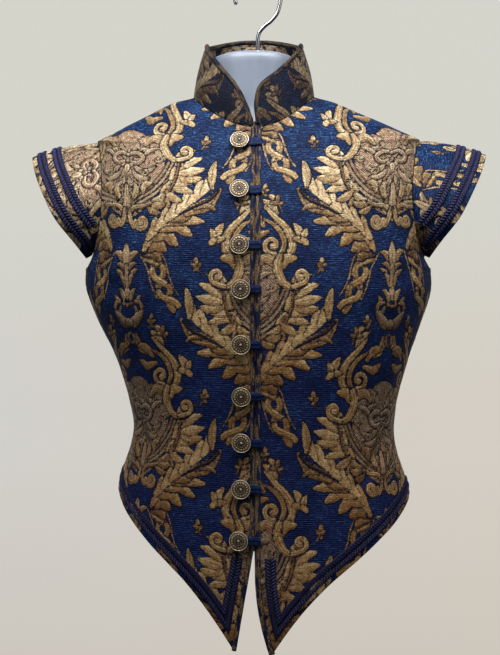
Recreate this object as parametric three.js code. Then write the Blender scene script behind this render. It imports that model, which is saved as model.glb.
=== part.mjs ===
// Sleeveless brocade doublet-vest on a hanging torso form, in millimetres.
// +Z up, the front faces -Y, +X is the wearer's left. The origin is the inside
// top of the form's hook, so all else lies below it.
import * as THREE from 'three';

// ---------------------------------------------------------------- dimensions
const CLOTH = 2.4;            // brocade, interlining and turned edges as one wall
const COLLAR_WALL = 3.0;      // stiffened stand collar
const WING_WALL = 3.0;        // stiffened cap sleeve
const SEAM = 0.5;             // clear space between two sewn edges
const LAY = 0.35;             // clear space under what lies on a panel
const LAY_WING = 0.6;         // the same on the tighter curve of the cap sleeves
const SQUARE = 2.25;          // fullness of the body's sections (2 is an ellipse)

const PIPING = { left: 5.8, right: 4.4, thick: 3.6 };   // rolled front edges
const FRONT_GAP = 0.4;        // half the gap where the fronts butt
const SLIT = { top: -651, bend: -680, left: [0.02, 0.0019], right: [0.165, 0] };   // fronts part below the last button
const TIP = { dip: 36, reach: 0.35 };       // extra drop towards each point

const BRAID = { thick: 1.6, hemEdge: 5.0, hemWide: 12.5, wingOuter: 6.0, wingInner: 24.5, wingWide: 11.5, slitTop: -664 };
const BINDING = 2.4;          // radius of the collar's rolled edge
const BUTTON = { radius: 10.5, shank: 2.6, under: 3.4, thick: 4.4 };
const LOOP = { from: 7.2, to: -10.8, high: 8.8, lift: 1.3, thick: 1.5 };
const HOOK = { wire: 2.4, bend: 27 };

// front panels: one row for each section from hem to neckline. zMid/yMid lie on
// the centre front, xEdge/yEdge/zEdge on the side seam, armhole or shoulder
// seam; arc is how far the section turns; rise shapes its height (rise power,
// and wave 1 for a flat start); dip is the share of the points' extra drop.
const FRONT = [
  { row: 'hem',        zMid: -763, yMid: -122, xEdge: 170.5, yEdge: 1,   zEdge: -599, arc: 90, rise: 1.58, wave: 0, dip: 1.1 },
  { row: 'hip',        zMid: -704, yMid: -122, xEdge: 164.0, yEdge: 1,   zEdge: -577, arc: 90, rise: 1.5, wave: 0, dip: 0.55 },
  { row: 'flare',      zMid: -648, yMid: -121, xEdge: 157.0, yEdge: 1,   zEdge: -556, arc: 90, rise: 1.4, wave: 0, dip: 0.2 },
  { row: 'low waist',  zMid: -594, yMid: -120, xEdge: 153.2, yEdge: 1,   zEdge: -538, arc: 90, rise: 1.5, wave: 0.2, dip: 0 },
  { row: 'waist',      zMid: -548, yMid: -120, xEdge: 153.6, yEdge: 1,   zEdge: -519, arc: 90, rise: 1.5, wave: 0.5, dip: 0 },
  { row: 'rib 1',      zMid: -500, yMid: -123, xEdge: 159.0, yEdge: 1,   zEdge: -488, arc: 90, rise: 1.5, wave: 0.8, dip: 0 },
  { row: 'rib 2',      zMid: -452, yMid: -127, xEdge: 171.5, yEdge: 1,   zEdge: -450, arc: 90, rise: 1.5, wave: 1, dip: 0 },
  { row: 'rib 3',      zMid: -408, yMid: -130, xEdge: 188.0, yEdge: 1,   zEdge: -410, arc: 90, rise: 1.5, wave: 1, dip: 0 },
  { row: 'chest',      zMid: -370, yMid: -131, xEdge: 201.5, yEdge: 1,   zEdge: -372, arc: 90, rise: 1.5, wave: 1, dip: 0 },
  { row: 'underarm',   zMid: -340, yMid: -130, xEdge: 202.5, yEdge: 1,   zEdge: -346, arc: 90, rise: 1.5, wave: 1, dip: 0 },
  { row: 'scye 1',     zMid: -326, yMid: -129, xEdge: 197.0, yEdge: -21, zEdge: -341, arc: 84, rise: 1.5, wave: 1, dip: 0 },
  { row: 'scye 2',     zMid: -309, yMid: -127, xEdge: 187.0, yEdge: -45, zEdge: -325, arc: 75, rise: 1.5, wave: 1, dip: 0 },
  { row: 'scye 3',     zMid: -286, yMid: -122, xEdge: 178.5, yEdge: -62, zEdge: -297, arc: 64, rise: 1.5, wave: 1, dip: 0 },
  { row: 'scye 4',     zMid: -263, yMid: -115, xEdge: 175.5, yEdge: -65, zEdge: -267, arc: 60, rise: 1.5, wave: 1, dip: 0 },
  { row: 'scye 5',     zMid: -242, yMid: -107, xEdge: 177.5, yEdge: -54, zEdge: -236, arc: 62, rise: 1.5, wave: 1, dip: 0 },
  { row: 'scye 6',     zMid: -226, yMid: -100, xEdge: 183.0, yEdge: -29, zEdge: -209, arc: 74, rise: 1.5, wave: 1, dip: 0 },
  { row: 'shoulder',   zMid: -215, yMid: -96,  xEdge: 190.0, yEdge: 5,   zEdge: -194.5, arc: 90, rise: 1.5, wave: 1, dip: 0 },
  { row: 'yoke 1',     zMid: -209, yMid: -93,  xEdge: 158.0, yEdge: 4,   zEdge: -179.0, arc: 90, rise: 1.5, wave: 1, dip: 0 },
  { row: 'yoke 2',     zMid: -203, yMid: -90,  xEdge: 126.0, yEdge: 3,   zEdge: -164.5, arc: 90, rise: 1.5, wave: 1, dip: 0 },
  { row: 'yoke 3',     zMid: -197, yMid: -87,  xEdge: 97.0,  yEdge: 1,   zEdge: -151.5, arc: 90, rise: 1.5, wave: 1, dip: 0 },
  { row: 'neckline',   zMid: -191, yMid: -85,  xEdge: 71.0,  yEdge: 0,   zEdge: -144.0, arc: 90, rise: 1.5, wave: 1, dip: 0 },
];

// back panel: the same rows, with zMid/yMid on the centre back
const BACK = [
  { row: 'hem',        zMid: -712, yMid: 112, yEdge: 1 },
  { row: 'hip',        zMid: -668, yMid: 106, yEdge: 1 },
  { row: 'flare',      zMid: -624, yMid: 96,  yEdge: 1 },
  { row: 'low waist',  zMid: -581, yMid: 88,  yEdge: 1 },
  { row: 'waist',      zMid: -541, yMid: 84,  yEdge: 1 },
  { row: 'rib 1',      zMid: -497, yMid: 86,  yEdge: 1 },
  { row: 'rib 2',      zMid: -452, yMid: 92,  yEdge: 1 },
  { row: 'rib 3',      zMid: -408, yMid: 99,  yEdge: 1 },
  { row: 'chest',      zMid: -368, yMid: 105, yEdge: 1 },
  { row: 'underarm',   zMid: -335, yMid: 108, yEdge: 1 },
  { row: 'scye 1',     zMid: -317, yMid: 109, yEdge: 23 },
  { row: 'scye 2',     zMid: -297, yMid: 109, yEdge: 46 },
  { row: 'scye 3',     zMid: -268, yMid: 107, yEdge: 62 },
  { row: 'scye 4',     zMid: -237, yMid: 103, yEdge: 66 },
  { row: 'scye 5',     zMid: -206, yMid: 97,  yEdge: 58 },
  { row: 'scye 6',     zMid: -180, yMid: 89,  yEdge: 36 },
  { row: 'shoulder',   zMid: -162, yMid: 82,  yEdge: 5 },
  { row: 'yoke 1',     zMid: -151, yMid: 77,  yEdge: 4 },
  { row: 'yoke 2',     zMid: -142, yMid: 72,  yEdge: 3 },
  { row: 'yoke 3',     zMid: -133, yMid: 66,  yEdge: 1 },
  { row: 'neckline',   zMid: -125, yMid: 60,  yEdge: 0 },
].map((b, i) => ({ ...FRONT[i], ...b, dip: 0 }));

// cap sleeve: where each scye row's outer edge lies, front to back
const WING = [
  { at: 'front low',  scye: 'front', row: 10.75, x: 197.0, y: -41, z: -334.5 },
  { at: 'front 2',    scye: 'front', row: 12,    x: 208.5, y: -60, z: -317 },
  { at: 'front 3',    scye: 'front', row: 13,    x: 228.0, y: -70, z: -291 },
  { at: 'front 4',    scye: 'front', row: 14,    x: 244.5, y: -61, z: -260 },
  { at: 'front 5',    scye: 'front', row: 15,    x: 258.5, y: -35, z: -232 },
  { at: 'corner',     scye: 'front', row: 16,    x: 267.5, y: 5,   z: -211 },
  { at: 'back 5',     scye: 'back',  row: 15,    x: 258.5, y: 43,  z: -231 },
  { at: 'back 4',     scye: 'back',  row: 14,    x: 244.5, y: 66,  z: -259 },
  { at: 'back 3',     scye: 'back',  row: 13,    x: 228.0, y: 73,  z: -290 },
  { at: 'back 2',     scye: 'back',  row: 12,    x: 208.5, y: 62,  z: -316 },
  { at: 'back low',   scye: 'back',  row: 10.75, x: 197.0, y: 42,  z: -334 },
];

// the garment hangs a little askew below the chest: sideways shift, turn in
// degrees about the vertical, and rise towards the wearer's right for each mm
const HANG = [
  { z: -150, shift: -4.5, turn: 0,  roll: 0 },
  { z: -205, shift: 0,   turn: 0,   roll: 0 },
  { z: -330, shift: 0,   turn: 0,   roll: 0 },
  { z: -400, shift: 1.5, turn: 0.7, roll: 0.006 },
  { z: -470, shift: 4.5, turn: 2.0, roll: 0.020 },
  { z: -540, shift: 6.5, turn: 3.1, roll: 0.030 },
  { z: -620, shift: 7.0, turn: 3.5, roll: 0.032 },
  { z: -780, shift: 6.0, turn: 3.5, roll: 0.032 },
];

// stand collar: height above the neckline by angle from the centre front, on the
// wearer's right and left; the left front stands fuller than the right
const COLLAR = [
  { deg: 4.5, high: 11, highLeft: 26, lean: 0.05 },
  { deg: 8,   high: 25, highLeft: 41, lean: 0.08 },
  { deg: 13,  high: 37, highLeft: 48, lean: 0.10 },
  { deg: 22,  high: 47, highLeft: 52, lean: 0.13 },
  { deg: 36,  high: 54, highLeft: 55, lean: 0.17 },
  { deg: 60,  high: 58, highLeft: 58, lean: 0.21 },
  { deg: 90,  high: 60, highLeft: 60, lean: 0.23 },
  { deg: 135, high: 59, highLeft: 59, lean: 0.16 },
  { deg: 180, high: 57, highLeft: 57, lean: 0.12 },
];
const COLLAR_END = 1 - COLLAR[0].deg / 180;

// buttons down the wearer's right front
const BUTTONS = [
  { x: -17.6, z: -209 }, { x: -16.9, z: -264.5 }, { x: -16.2, z: -325 },
  { x: -14.6, z: -373 }, { x: -14.4, z: -432.5 }, { x: -14.2, z: -489 },
  { x: -14.0, z: -539.5 }, { x: -14.4, z: -590 }, { x: -16.6, z: -646 },
];

// torso form: half width and front and back depth at each height
const FORM = [
  { z: -657, half: 40,  front: -48,  back: 42 },
  { z: -652, half: 74,  front: -76,  back: 62 },
  { z: -640, half: 103, front: -95,  back: 72 },
  { z: -612, half: 128, front: -105, back: 72 },
  { z: -575, half: 138, front: -106, back: 71 },
  { z: -535, half: 140, front: -107, back: 72 },
  { z: -495, half: 147, front: -110, back: 73 },
  { z: -450, half: 161, front: -114, back: 79 },
  { z: -408, half: 176, front: -117, back: 86 },
  { z: -370, half: 184, front: -118, back: 92 },
  { z: -335, half: 180, front: -117, back: 96 },
  { z: -300, half: 168, front: -111, back: 96 },
  { z: -265, half: 162, front: -100, back: 92 },
  { z: -235, half: 161, front: -86,  back: 84 },
  { z: -213, half: 155, front: -72,  back: 74 },
  { z: -198, half: 139, front: -62,  back: 66 },
  { z: -184, half: 112, front: -54,  back: 58 },
  { z: -172, half: 85,  front: -49,  back: 52 },
  { z: -160, half: 64,  front: -46,  back: 47 },
  { z: -146, half: 53,  front: -45,  back: 45 },
  { z: -125, half: 49,  front: -44,  back: 44 },
  { z: -103, half: 48,  front: -44,  back: 43 },
  { z: -98,  half: 46.5, front: -42.5, back: 41.5 },
  { z: -94,  half: 36,  front: -33,  back: 32 },
];
const FORM_TOP = -91, FORM_FOOT = -659;

// ---------------------------------------------------------------- helpers
const V = (x, y, z) => new THREE.Vector3(x, y, z);
const RAD = Math.PI / 180;
const spline = (p0, p1, p2, p3, f) =>
  0.5 * (2 * p1 + (p2 - p0) * f + (2 * p0 - 5 * p1 + 4 * p2 - p3) * f * f + (3 * p1 - p0 - 3 * p2 + p3) * f * f * f);

// value of every numeric column at a fractional row; the seams' columns turn a
// corner at the underarm and the shoulder point
const CORNERS = ['underarm', 'shoulder'], SEAM_COLUMNS = ['xEdge', 'yEdge', 'zEdge', 'arc'];
function sample(table, index) {
  const last = table.length - 1;
  const s = Math.min(Math.max(index, 0), last);
  const i = Math.min(Math.floor(s), last - 1), f = s - i;
  const a = table[i], b = table[i + 1];
  const before = i > 0 ? table[i - 1] : null, after = i + 2 <= last ? table[i + 2] : null;
  const out = {};
  for (const key of Object.keys(a)) {
    if (typeof a[key] !== 'number') continue;
    const seam = SEAM_COLUMNS.includes(key);
    const p0 = before && !(seam && CORNERS.includes(a.row)) ? before[key] : 2 * a[key] - b[key];
    const p3 = after && !(seam && CORNERS.includes(b.row)) ? after[key] : 2 * b[key] - a[key];
    out[key] = spline(p0, a[key], b[key], p3, f);
  }
  return out;
}

// a section's squared-off arc, u from 0 on the centre line to 1 at its edge
function arcShape(u, arc) {
  const polar = (a) => {
    const s = Math.abs(Math.sin(a)), c = Math.abs(Math.cos(a));
    const r = Math.pow(Math.pow(s, SQUARE) + Math.pow(c, SQUARE), -1 / SQUARE);
    return [r * Math.sin(a), r * Math.cos(a)];
  };
  const end = polar(arc * RAD), here = polar(u * arc * RAD);
  return [here[0] / end[0], (1 - here[1]) / (1 - end[1])];
}

function panelPoint(table, u, index) {
  const r = sample(table, index);
  const au = Math.abs(u), [sx, sy] = arcShape(au, r.arc);
  const climb = (1 - r.wave) * (1 - Math.pow(Math.max(0, 1 - au), r.rise)) + r.wave * (0.5 - 0.5 * Math.cos(Math.PI * Math.min(au, 1)));
  const drop = r.dip * TIP.dip * Math.pow(Math.max(0, 1 - au / TIP.reach), 2);
  return V(Math.sign(u) * r.xEdge * sx, r.yMid + (r.yEdge - r.yMid) * sy, r.zMid + (r.zEdge - r.zMid) * climb - drop);
}

function panelFrame(table, u, index) {
  const h = 0.004, last = table.length - 1;
  const p = panelPoint(table, u, index);
  const uHi = Math.min(u + h, 1), uLo = Math.max(u - h, -1);
  const tHi = Math.min(index + 0.05, last), tLo = Math.max(index - 0.05, 0);
  const du = panelPoint(table, uHi, index).sub(panelPoint(table, uLo, index));
  const dt = panelPoint(table, u, tHi).sub(panelPoint(table, u, tLo));
  const n = du.cross(dt).normalize();
  const out = V(p.x, p.y * 1.6, Math.max(0, p.z + 260) * 1.2);   // rough outward way
  if (n.dot(out) < 0) n.negate();
  return { p, n };
}

function uAtX(table, x, index) {
  let lo = 0, hi = 1;
  for (let i = 0; i < 26; i++) {
    const mid = (lo + hi) / 2;
    if (panelPoint(table, mid, index).x < x) lo = mid; else hi = mid;
  }
  return (lo + hi) / 2;
}

// the splayed centre front edge: x grows below the slit's top
function frontEdgeU(index, inset, side) {
  const [splay, bow] = SLIT[side];
  let u = uAtX(FRONT, inset, index);
  for (let i = 0; i < 12; i++) {
    const z = panelPoint(FRONT, u, index).z;
    const apart = splay * Math.max(0, SLIT.top - z) + bow * Math.max(0, SLIT.bend - z) ** 2;
    u = uAtX(FRONT, inset + apart, index);
  }
  return u;
}

function geometryFrom(vertices, faces) {
  let volume = 0;
  for (const [a, b, c] of faces) volume += vertices[a].dot(vertices[b].clone().cross(vertices[c]));
  const flat = [];
  for (const v of vertices) flat.push(v.x, v.y, v.z);
  const index = [];
  for (const [a, b, c] of faces) volume > 0 ? index.push(a, b, c) : index.push(a, c, b);
  const g = new THREE.BufferGeometry();
  g.setAttribute('position', new THREE.Float32BufferAttribute(flat, 3));
  g.setIndex(index);
  g.computeVertexNormals();
  return g;
}

// closed wall over a patch: at(i, j) gives { p, n }
function wall(at, nA, nB, outer, inner) {
  const vertices = [], faces = [], row = nB + 1, sheet = (nA + 1) * row;
  for (const off of [outer, inner]) {
    for (let i = 0; i <= nA; i++) for (let j = 0; j <= nB; j++) {
      const { p, n } = at(i / nA, j / nB);
      vertices.push(p.clone().addScaledVector(n, off));
    }
  }
  for (let i = 0; i < nA; i++) for (let j = 0; j < nB; j++) {
    const a = i * row + j, b = a + row, c = b + 1, d = a + 1;
    faces.push([a, b, c], [a, c, d], [sheet + a, sheet + c, sheet + b], [sheet + a, sheet + d, sheet + c]);
  }
  const rim = [];
  for (let i = 0; i < nA; i++) rim.push(i * row);
  for (let j = 0; j < nB; j++) rim.push(nA * row + j);
  for (let i = nA; i > 0; i--) rim.push(i * row + nB);
  for (let j = nB; j > 0; j--) rim.push(j);
  for (let k = 0; k < rim.length; k++) {
    const a = rim[k], b = rim[(k + 1) % rim.length];
    faces.push([a, sheet + a, sheet + b], [a, sheet + b, b]);
  }
  return geometryFrom(vertices, faces);
}

// closed bar along a path of { p, side, up } with an elliptical section
function bar(path, halfSide, halfUp, sides) {
  const vertices = [], faces = [], n = path.length;
  for (const { p, side, up, scale = 1 } of path) for (let k = 0; k < sides; k++) {
    const a = (k + 0.5) * 2 * Math.PI / sides;
    vertices.push(p.clone().addScaledVector(side, Math.cos(a) * halfSide * scale).addScaledVector(up, Math.sin(a) * halfUp * scale));
  }
  for (let i = 0; i < n - 1; i++) for (let k = 0; k < sides; k++) {
    const a = i * sides + k, b = i * sides + (k + 1) % sides, c = a + sides, d = b + sides;
    faces.push([a, b, d], [a, d, c]);
  }
  for (let k = 1; k < sides - 1; k++) {
    faces.push([0, k + 1, k]);
    const e = (n - 1) * sides;
    faces.push([e, e + k, e + k + 1]);
  }
  return geometryFrom(vertices, faces);
}

function mirrored(g) {
  const p = g.getAttribute('position'), index = g.getIndex(), vertices = [], faces = [];
  for (let i = 0; i < p.count; i++) vertices.push(V(-p.getX(i), p.getY(i), p.getZ(i)));
  for (let i = 0; i < index.count; i += 3) faces.push([index.getX(i), index.getX(i + 1), index.getX(i + 2)]);
  return geometryFrom(vertices, faces);
}

function hangAt(z) {
  let i = 0;
  while (i < HANG.length - 2 && HANG[i + 1].z > z) i++;
  const a = HANG[i], b = HANG[i + 1], f = Math.min(Math.max((z - a.z) / (b.z - a.z), 0), 1), g = f * f * (3 - 2 * f);
  return { shift: a.shift + (b.shift - a.shift) * g, turn: a.turn + (b.turn - a.turn) * g, roll: a.roll + (b.roll - a.roll) * g };
}
function hung(geometry) {
  const pos = geometry.getAttribute('position');
  for (let i = 0; i < pos.count; i++) {
    const x = pos.getX(i), y = pos.getY(i), z = pos.getZ(i), h = hangAt(z);
    const c = Math.cos(h.turn * RAD), s = Math.sin(h.turn * RAD);
    pos.setXYZ(i, x * c + y * s + h.shift, y * c - x * s, z - h.roll * x);
  }
  geometry.computeVertexNormals();
  return geometry;
}

const root = new THREE.Group();
function add(name, geometry, material) {
  if (name !== 'hook') hung(geometry);
  const mesh = new THREE.Mesh(geometry, material);
  mesh.name = name;
  root.add(mesh);
  return mesh;
}

// ---------------------------------------------------------------- materials
const paint = (color, roughness, metalness) => new THREE.MeshStandardMaterial({ color, roughness, metalness });
const BROCADE = paint(0x3a4257, 0.7, 0.05);
const COLLAR_CLOTH = paint(0x2c3040, 0.7, 0.05);
const ROLLED = paint(0x4a4038, 0.7, 0.05);
const BRAID_CLOTH = paint(0x2b3054, 0.55, 0.05);
const TAB_CLOTH = paint(0x1f3f7c, 0.75, 0.0);
const BRASS = paint(0x8a7650, 0.42, 0.85);
const PLASTIC = paint(0xd9dde6, 0.35, 0.0);
const CHROME = paint(0xc4c6c8, 0.18, 1.0);

// ---------------------------------------------------------------- body panels
const LAST = FRONT.length - 1;
const U_SEAM = 1 - 0.0016;    // leaves the seam gap at the sides and shoulders
// grid lines follow the table's rows, with a few more where a seam turns
const ROWS = [...FRONT.keys(), 0.5, 1.5, 9.5, 10.5, 15.5].sort((a, b) => a - b);
const rowAt = (j) => ROWS[Math.round(j * (ROWS.length - 1))];

function frontPanel(side) {
  const inset = FRONT_GAP + PIPING[side] + LAY;
  return wall((i, j) => {
    const index = rowAt(j), u0 = frontEdgeU(index, inset, side);
    return panelFrame(FRONT, u0 + (U_SEAM - u0) * i, index);
  }, 10, ROWS.length - 1, 0, -CLOTH);
}
add('front_left', frontPanel('left'), BROCADE);
add('front_right', mirrored(frontPanel('right')), BROCADE);
add('back', wall((i, j) => panelFrame(BACK, (2 * i - 1) * U_SEAM, rowAt(j)), 18, ROWS.length - 1, 0, -CLOTH), BROCADE);

function frontPiping(hand) {
  const width = PIPING[hand], path = [];
  for (const index of ROWS) {
    const u = frontEdgeU(index, FRONT_GAP + width / 2, hand);
    const { p, n } = panelFrame(FRONT, u, index);
    const next = panelPoint(FRONT, frontEdgeU(Math.min(index + 0.05, LAST), FRONT_GAP + width / 2, hand), Math.min(index + 0.05, LAST));
    const prev = panelPoint(FRONT, frontEdgeU(Math.max(index - 0.05, 0), FRONT_GAP + width / 2, hand), Math.max(index - 0.05, 0));
    const along = next.sub(prev).normalize(), side = along.clone().cross(n).normalize();
    path.push({ p: p.addScaledVector(n, -CLOTH / 2), side, up: n });
  }
  return bar(path, width / 2, PIPING.thick / 2, 6);
}
add('front_piping_left', frontPiping('left'), ROLLED);
add('front_piping_right', mirrored(frontPiping('right')), ROLLED);

// ---------------------------------------------------------------- hem braids
// the lower body as a chart: p runs round the hem from the centre line, z is height
function chart(table) {
  const steps = 60, ps = [0];
  for (let k = 1; k <= steps; k++) {
    const a = panelPoint(table, (k - 1) / steps, 1), b = panelPoint(table, k / steps, 1);
    ps.push(ps[k - 1] + Math.hypot(a.x - b.x, a.y - b.y));
  }
  const uOf = (p) => {
    let k = 0;
    while (k < steps - 1 && ps[k + 1] < p) k++;
    return Math.min(1, (k + (p - ps[k]) / (ps[k + 1] - ps[k])) / steps);
  };
  const pOf = (u) => {
    const k = Math.min(steps - 1, Math.floor(u * steps));
    return ps[k] + (ps[k + 1] - ps[k]) * (u * steps - k);
  };
  const frame = (p, z, sign = 1) => {
    const u = uOf(Math.max(0, p));
    let lo = 0, hi = 8;
    for (let i = 0; i < 30; i++) {
      const mid = (lo + hi) / 2;
      if (panelPoint(table, u, mid).z < z) lo = mid; else hi = mid;
    }
    return panelFrame(table, sign * u, (lo + hi) / 2);
  };
  return { uOf, pOf, frame, round: ps[steps] };
}

// moves a polyline sideways in the chart (positive to the left of its way)
function offsetLine(line, d) {
  return line.map((q, i) => {
    const a = line[Math.max(0, i - 1)], b = line[Math.min(line.length - 1, i + 1)];
    const dx = b[0] - a[0], dz = b[1] - a[1], l = Math.hypot(dx, dz);
    return [q[0] - dz / l * d, q[1] + dx / l * d];
  });
}

function crossing(lineA, lineB) {
  for (let i = 0; i < lineA.length - 1; i++) for (let k = 0; k < lineB.length - 1; k++) {
    const [a, b, c, d] = [lineA[i], lineA[i + 1], lineB[k], lineB[k + 1]];
    const r = [b[0] - a[0], b[1] - a[1]], s = [d[0] - c[0], d[1] - c[1]];
    const den = r[0] * s[1] - r[1] * s[0];
    if (Math.abs(den) < 1e-9) continue;
    const e = ((c[0] - a[0]) * s[1] - (c[1] - a[1]) * s[0]) / den;
    const f = ((c[0] - a[0]) * r[1] - (c[1] - a[1]) * r[0]) / den;
    if (e >= 0 && e <= 1 && f >= 0 && f <= 1) return { i, k, q: [a[0] + r[0] * e, a[1] + r[1] * e] };
  }
  return null;
}

function resample(line, n) {
  const run = [0];
  for (let i = 1; i < line.length; i++) run.push(run[i - 1] + Math.hypot(line[i][0] - line[i - 1][0], line[i][1] - line[i - 1][1]));
  const out = [];
  for (let k = 0; k <= n; k++) {
    const s = run[run.length - 1] * k / n;
    let i = 0;
    while (i < line.length - 2 && run[i + 1] < s) i++;
    const f = (s - run[i]) / (run[i + 1] - run[i]);
    out.push([line[i][0] + (line[i + 1][0] - line[i][0]) * f, line[i][1] + (line[i + 1][1] - line[i][1]) * f]);
  }
  return out;
}

function frontHemBraid(side) {
  const c = chart(FRONT), inset = FRONT_GAP + PIPING[side] + LAY;
  const slit = [], hem = [];
  for (let k = 0; k <= 60; k++) {        // down the slit's edge
    const index = 4 * (1 - k / 60), u = frontEdgeU(index, inset, side), q = panelPoint(FRONT, u, index);
    if (q.z < BRAID.slitTop + 12) slit.push([c.pOf(u), q.z]);
  }
  const uTip = frontEdgeU(0, inset, side);
  for (let k = 0; k <= 80; k++) {        // from the point round to the side seam
    const u = uTip + (U_SEAM - uTip) * k / 80;
    hem.push([c.pOf(u), panelPoint(FRONT, u, 0).z]);
  }
  const legs = [BRAID.hemEdge, BRAID.hemEdge + BRAID.hemWide].map((d) => {
    const a = offsetLine(slit, d), b = offsetLine(hem, d), x = crossing(a, b);
    const down = [...a.slice(0, x.i + 1), x.q].filter((q) => q[1] < BRAID.slitTop);
    return [resample(down, 9), resample([x.q, ...b.slice(x.k + 1)], 22)];
  });
  const outer = [...legs[0][0], ...legs[0][1].slice(1)], inner = [...legs[1][0], ...legs[1][1].slice(1)];
  const n = outer.length - 1;
  return wall((i, j) => {
    const k = Math.round(i * n), a = outer[k], b = inner[k];
    return c.frame(a[0] + (b[0] - a[0]) * j, a[1] + (b[1] - a[1]) * j);
  }, n, 1, LAY + BRAID.thick, LAY);
}
add('hem_braid_front_left', frontHemBraid('left'), BRAID_CLOTH);
add('hem_braid_front_right', mirrored(frontHemBraid('right')), BRAID_CLOTH);

function backHemBraid() {
  const c = chart(BACK), half = [];
  for (let k = 0; k <= 80; k++) {
    const u = U_SEAM * k / 80;
    half.push([c.pOf(u), panelPoint(BACK, u, 0).z]);
  }
  const lines = [BRAID.hemEdge, BRAID.hemEdge + BRAID.hemWide].map((d) => {
    const moved = offsetLine(half, d), first = moved.findIndex((q) => q[0] > 0);
    const a = moved[first - 1] ?? moved[0], b = moved[first];
    const start = first > 0 ? [0, a[1] + (b[1] - a[1]) * (0 - a[0]) / (b[0] - a[0])] : [0, moved[0][1]];
    return resample([start, ...moved.slice(first)], 18);
  });
  const n = 36;
  return wall((i, j) => {
    const k = Math.round(i * n) - 18, a = lines[0][Math.abs(k)], b = lines[1][Math.abs(k)];
    return c.frame(a[0] + (b[0] - a[0]) * j, a[1] + (b[1] - a[1]) * j, k < 0 ? -1 : 1);
  }, n, 1, LAY + BRAID.thick, LAY);
}
add('hem_braid_back', backHemBraid(), BRAID_CLOTH);

// ---------------------------------------------------------------- cap sleeves
function wingPoint(s, w) {
  const index = s * (WING.length - 1), i = Math.min(Math.floor(index), WING.length - 2), f = index - i;
  const rootAt = (k) => {
    const m = WING[Math.min(Math.max(k, 0), WING.length - 1)];
    return panelPoint(m.scye === 'front' ? FRONT : BACK, 1, m.row);
  };
  const a = rootAt(i - 1), b = rootAt(i), c = rootAt(i + 1), d = rootAt(i + 2);
  let seam;
  if (WING[i].scye === WING[i + 1].scye || WING[i + 1].row === 16 || WING[i].row === 16) {
    const side = WING[i].row === 16 ? WING[i + 1] : WING[i];
    const table = side.scye === 'front' ? FRONT : BACK;
    seam = panelPoint(table, 1, WING[i].row + (WING[i + 1].row - WING[i].row) * f);
  } else seam = V(spline(a.x, b.x, c.x, d.x, f), spline(a.y, b.y, c.y, d.y, f), spline(a.z, b.z, c.z, d.z, f));
  const e = sample(WING, index), edge = V(e.x, e.y, e.z);
  const along = edge.clone().sub(seam), width = along.length();
  along.normalize();
  const start = seam.clone().addScaledVector(along, SEAM + 0.2);
  const p = start.clone().lerp(edge, w);
  // a slight crown, away from the arm's middle
  const middle = V(215, 3, -290), away = p.clone().sub(middle);
  away.addScaledVector(along, -away.dot(along)).normalize();
  return { p: p.addScaledVector(away, 0.045 * width * Math.sin(Math.PI * w)), width };
}
function wingFrame(s, w) {
  const h = 0.003, { p, width } = wingPoint(s, w);
  const ds = wingPoint(Math.min(s + h, 1), w).p.sub(wingPoint(Math.max(s - h, 0), w).p);
  const dw = wingPoint(s, Math.min(w + h, 1)).p.sub(wingPoint(s, Math.max(w - h, 0)).p);
  const n = ds.cross(dw).normalize();
  if (n.dot(p.clone().sub(V(215, 3, -290))) < 0) n.negate();
  return { p, n, width };
}
const cap = wall((i, j) => wingFrame(i, j), 30, 4, 0, -WING_WALL);
add('sleeve_cap_left', cap.clone(), BROCADE);
add('sleeve_cap_right', mirrored(cap), BROCADE);

function wingBraid(fromEdge) {
  // runs where the wing is wide enough to carry it
  const fits = (s) => wingPoint(s, 0.5).width > fromEdge + BRAID.wingWide + 2.5;
  let lo = 0, hi = 1;
  while (!fits(lo)) lo += 0.002;
  while (!fits(hi)) hi -= 0.002;
  return wall((i, j) => {
    const s = lo + (hi - lo) * i, width = wingPoint(s, 0.5).width;
    return wingFrame(s, 1 - (fromEdge + BRAID.wingWide * (1 - j)) / width);
  }, 24, 1, LAY_WING + BRAID.thick, LAY_WING);
}
for (const [name, from] of [['outer', BRAID.wingOuter], ['inner', BRAID.wingInner]]) {
  const g = wingBraid(from);
  add(`sleeve_braid_${name}_left`, g.clone(), BRAID_CLOTH);
  add(`sleeve_braid_${name}_right`, mirrored(g), BRAID_CLOTH);
}

// ---------------------------------------------------------------- collar
function collarSample(deg, left) {
  let i = 0;
  while (i < COLLAR.length - 2 && COLLAR[i + 1].deg < deg) i++;
  const f = (deg - COLLAR[i].deg) / (COLLAR[i + 1].deg - COLLAR[i].deg);
  const pick = (key) => {
    const at = (k) => COLLAR[Math.min(Math.max(k, 0), COLLAR.length - 1)];
    const slope = (k) => (at(k + 1)[key] - at(k - 1)[key]) / (at(k + 1).deg - at(k - 1).deg || 1);
    const h = COLLAR[i + 1].deg - COLLAR[i].deg, m0 = slope(i) * h, m1 = slope(i + 1) * h, p0 = at(i)[key], p1 = at(i + 1)[key];
    const f2 = f * f, f3 = f2 * f;
    return (2 * f3 - 3 * f2 + 1) * p0 + (f3 - 2 * f2 + f) * m0 + (-2 * f3 + 3 * f2) * p1 + (f3 - f2) * m1;
  };
  return { high: pick(left ? 'highLeft' : 'high'), lean: pick('lean') };
}
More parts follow.
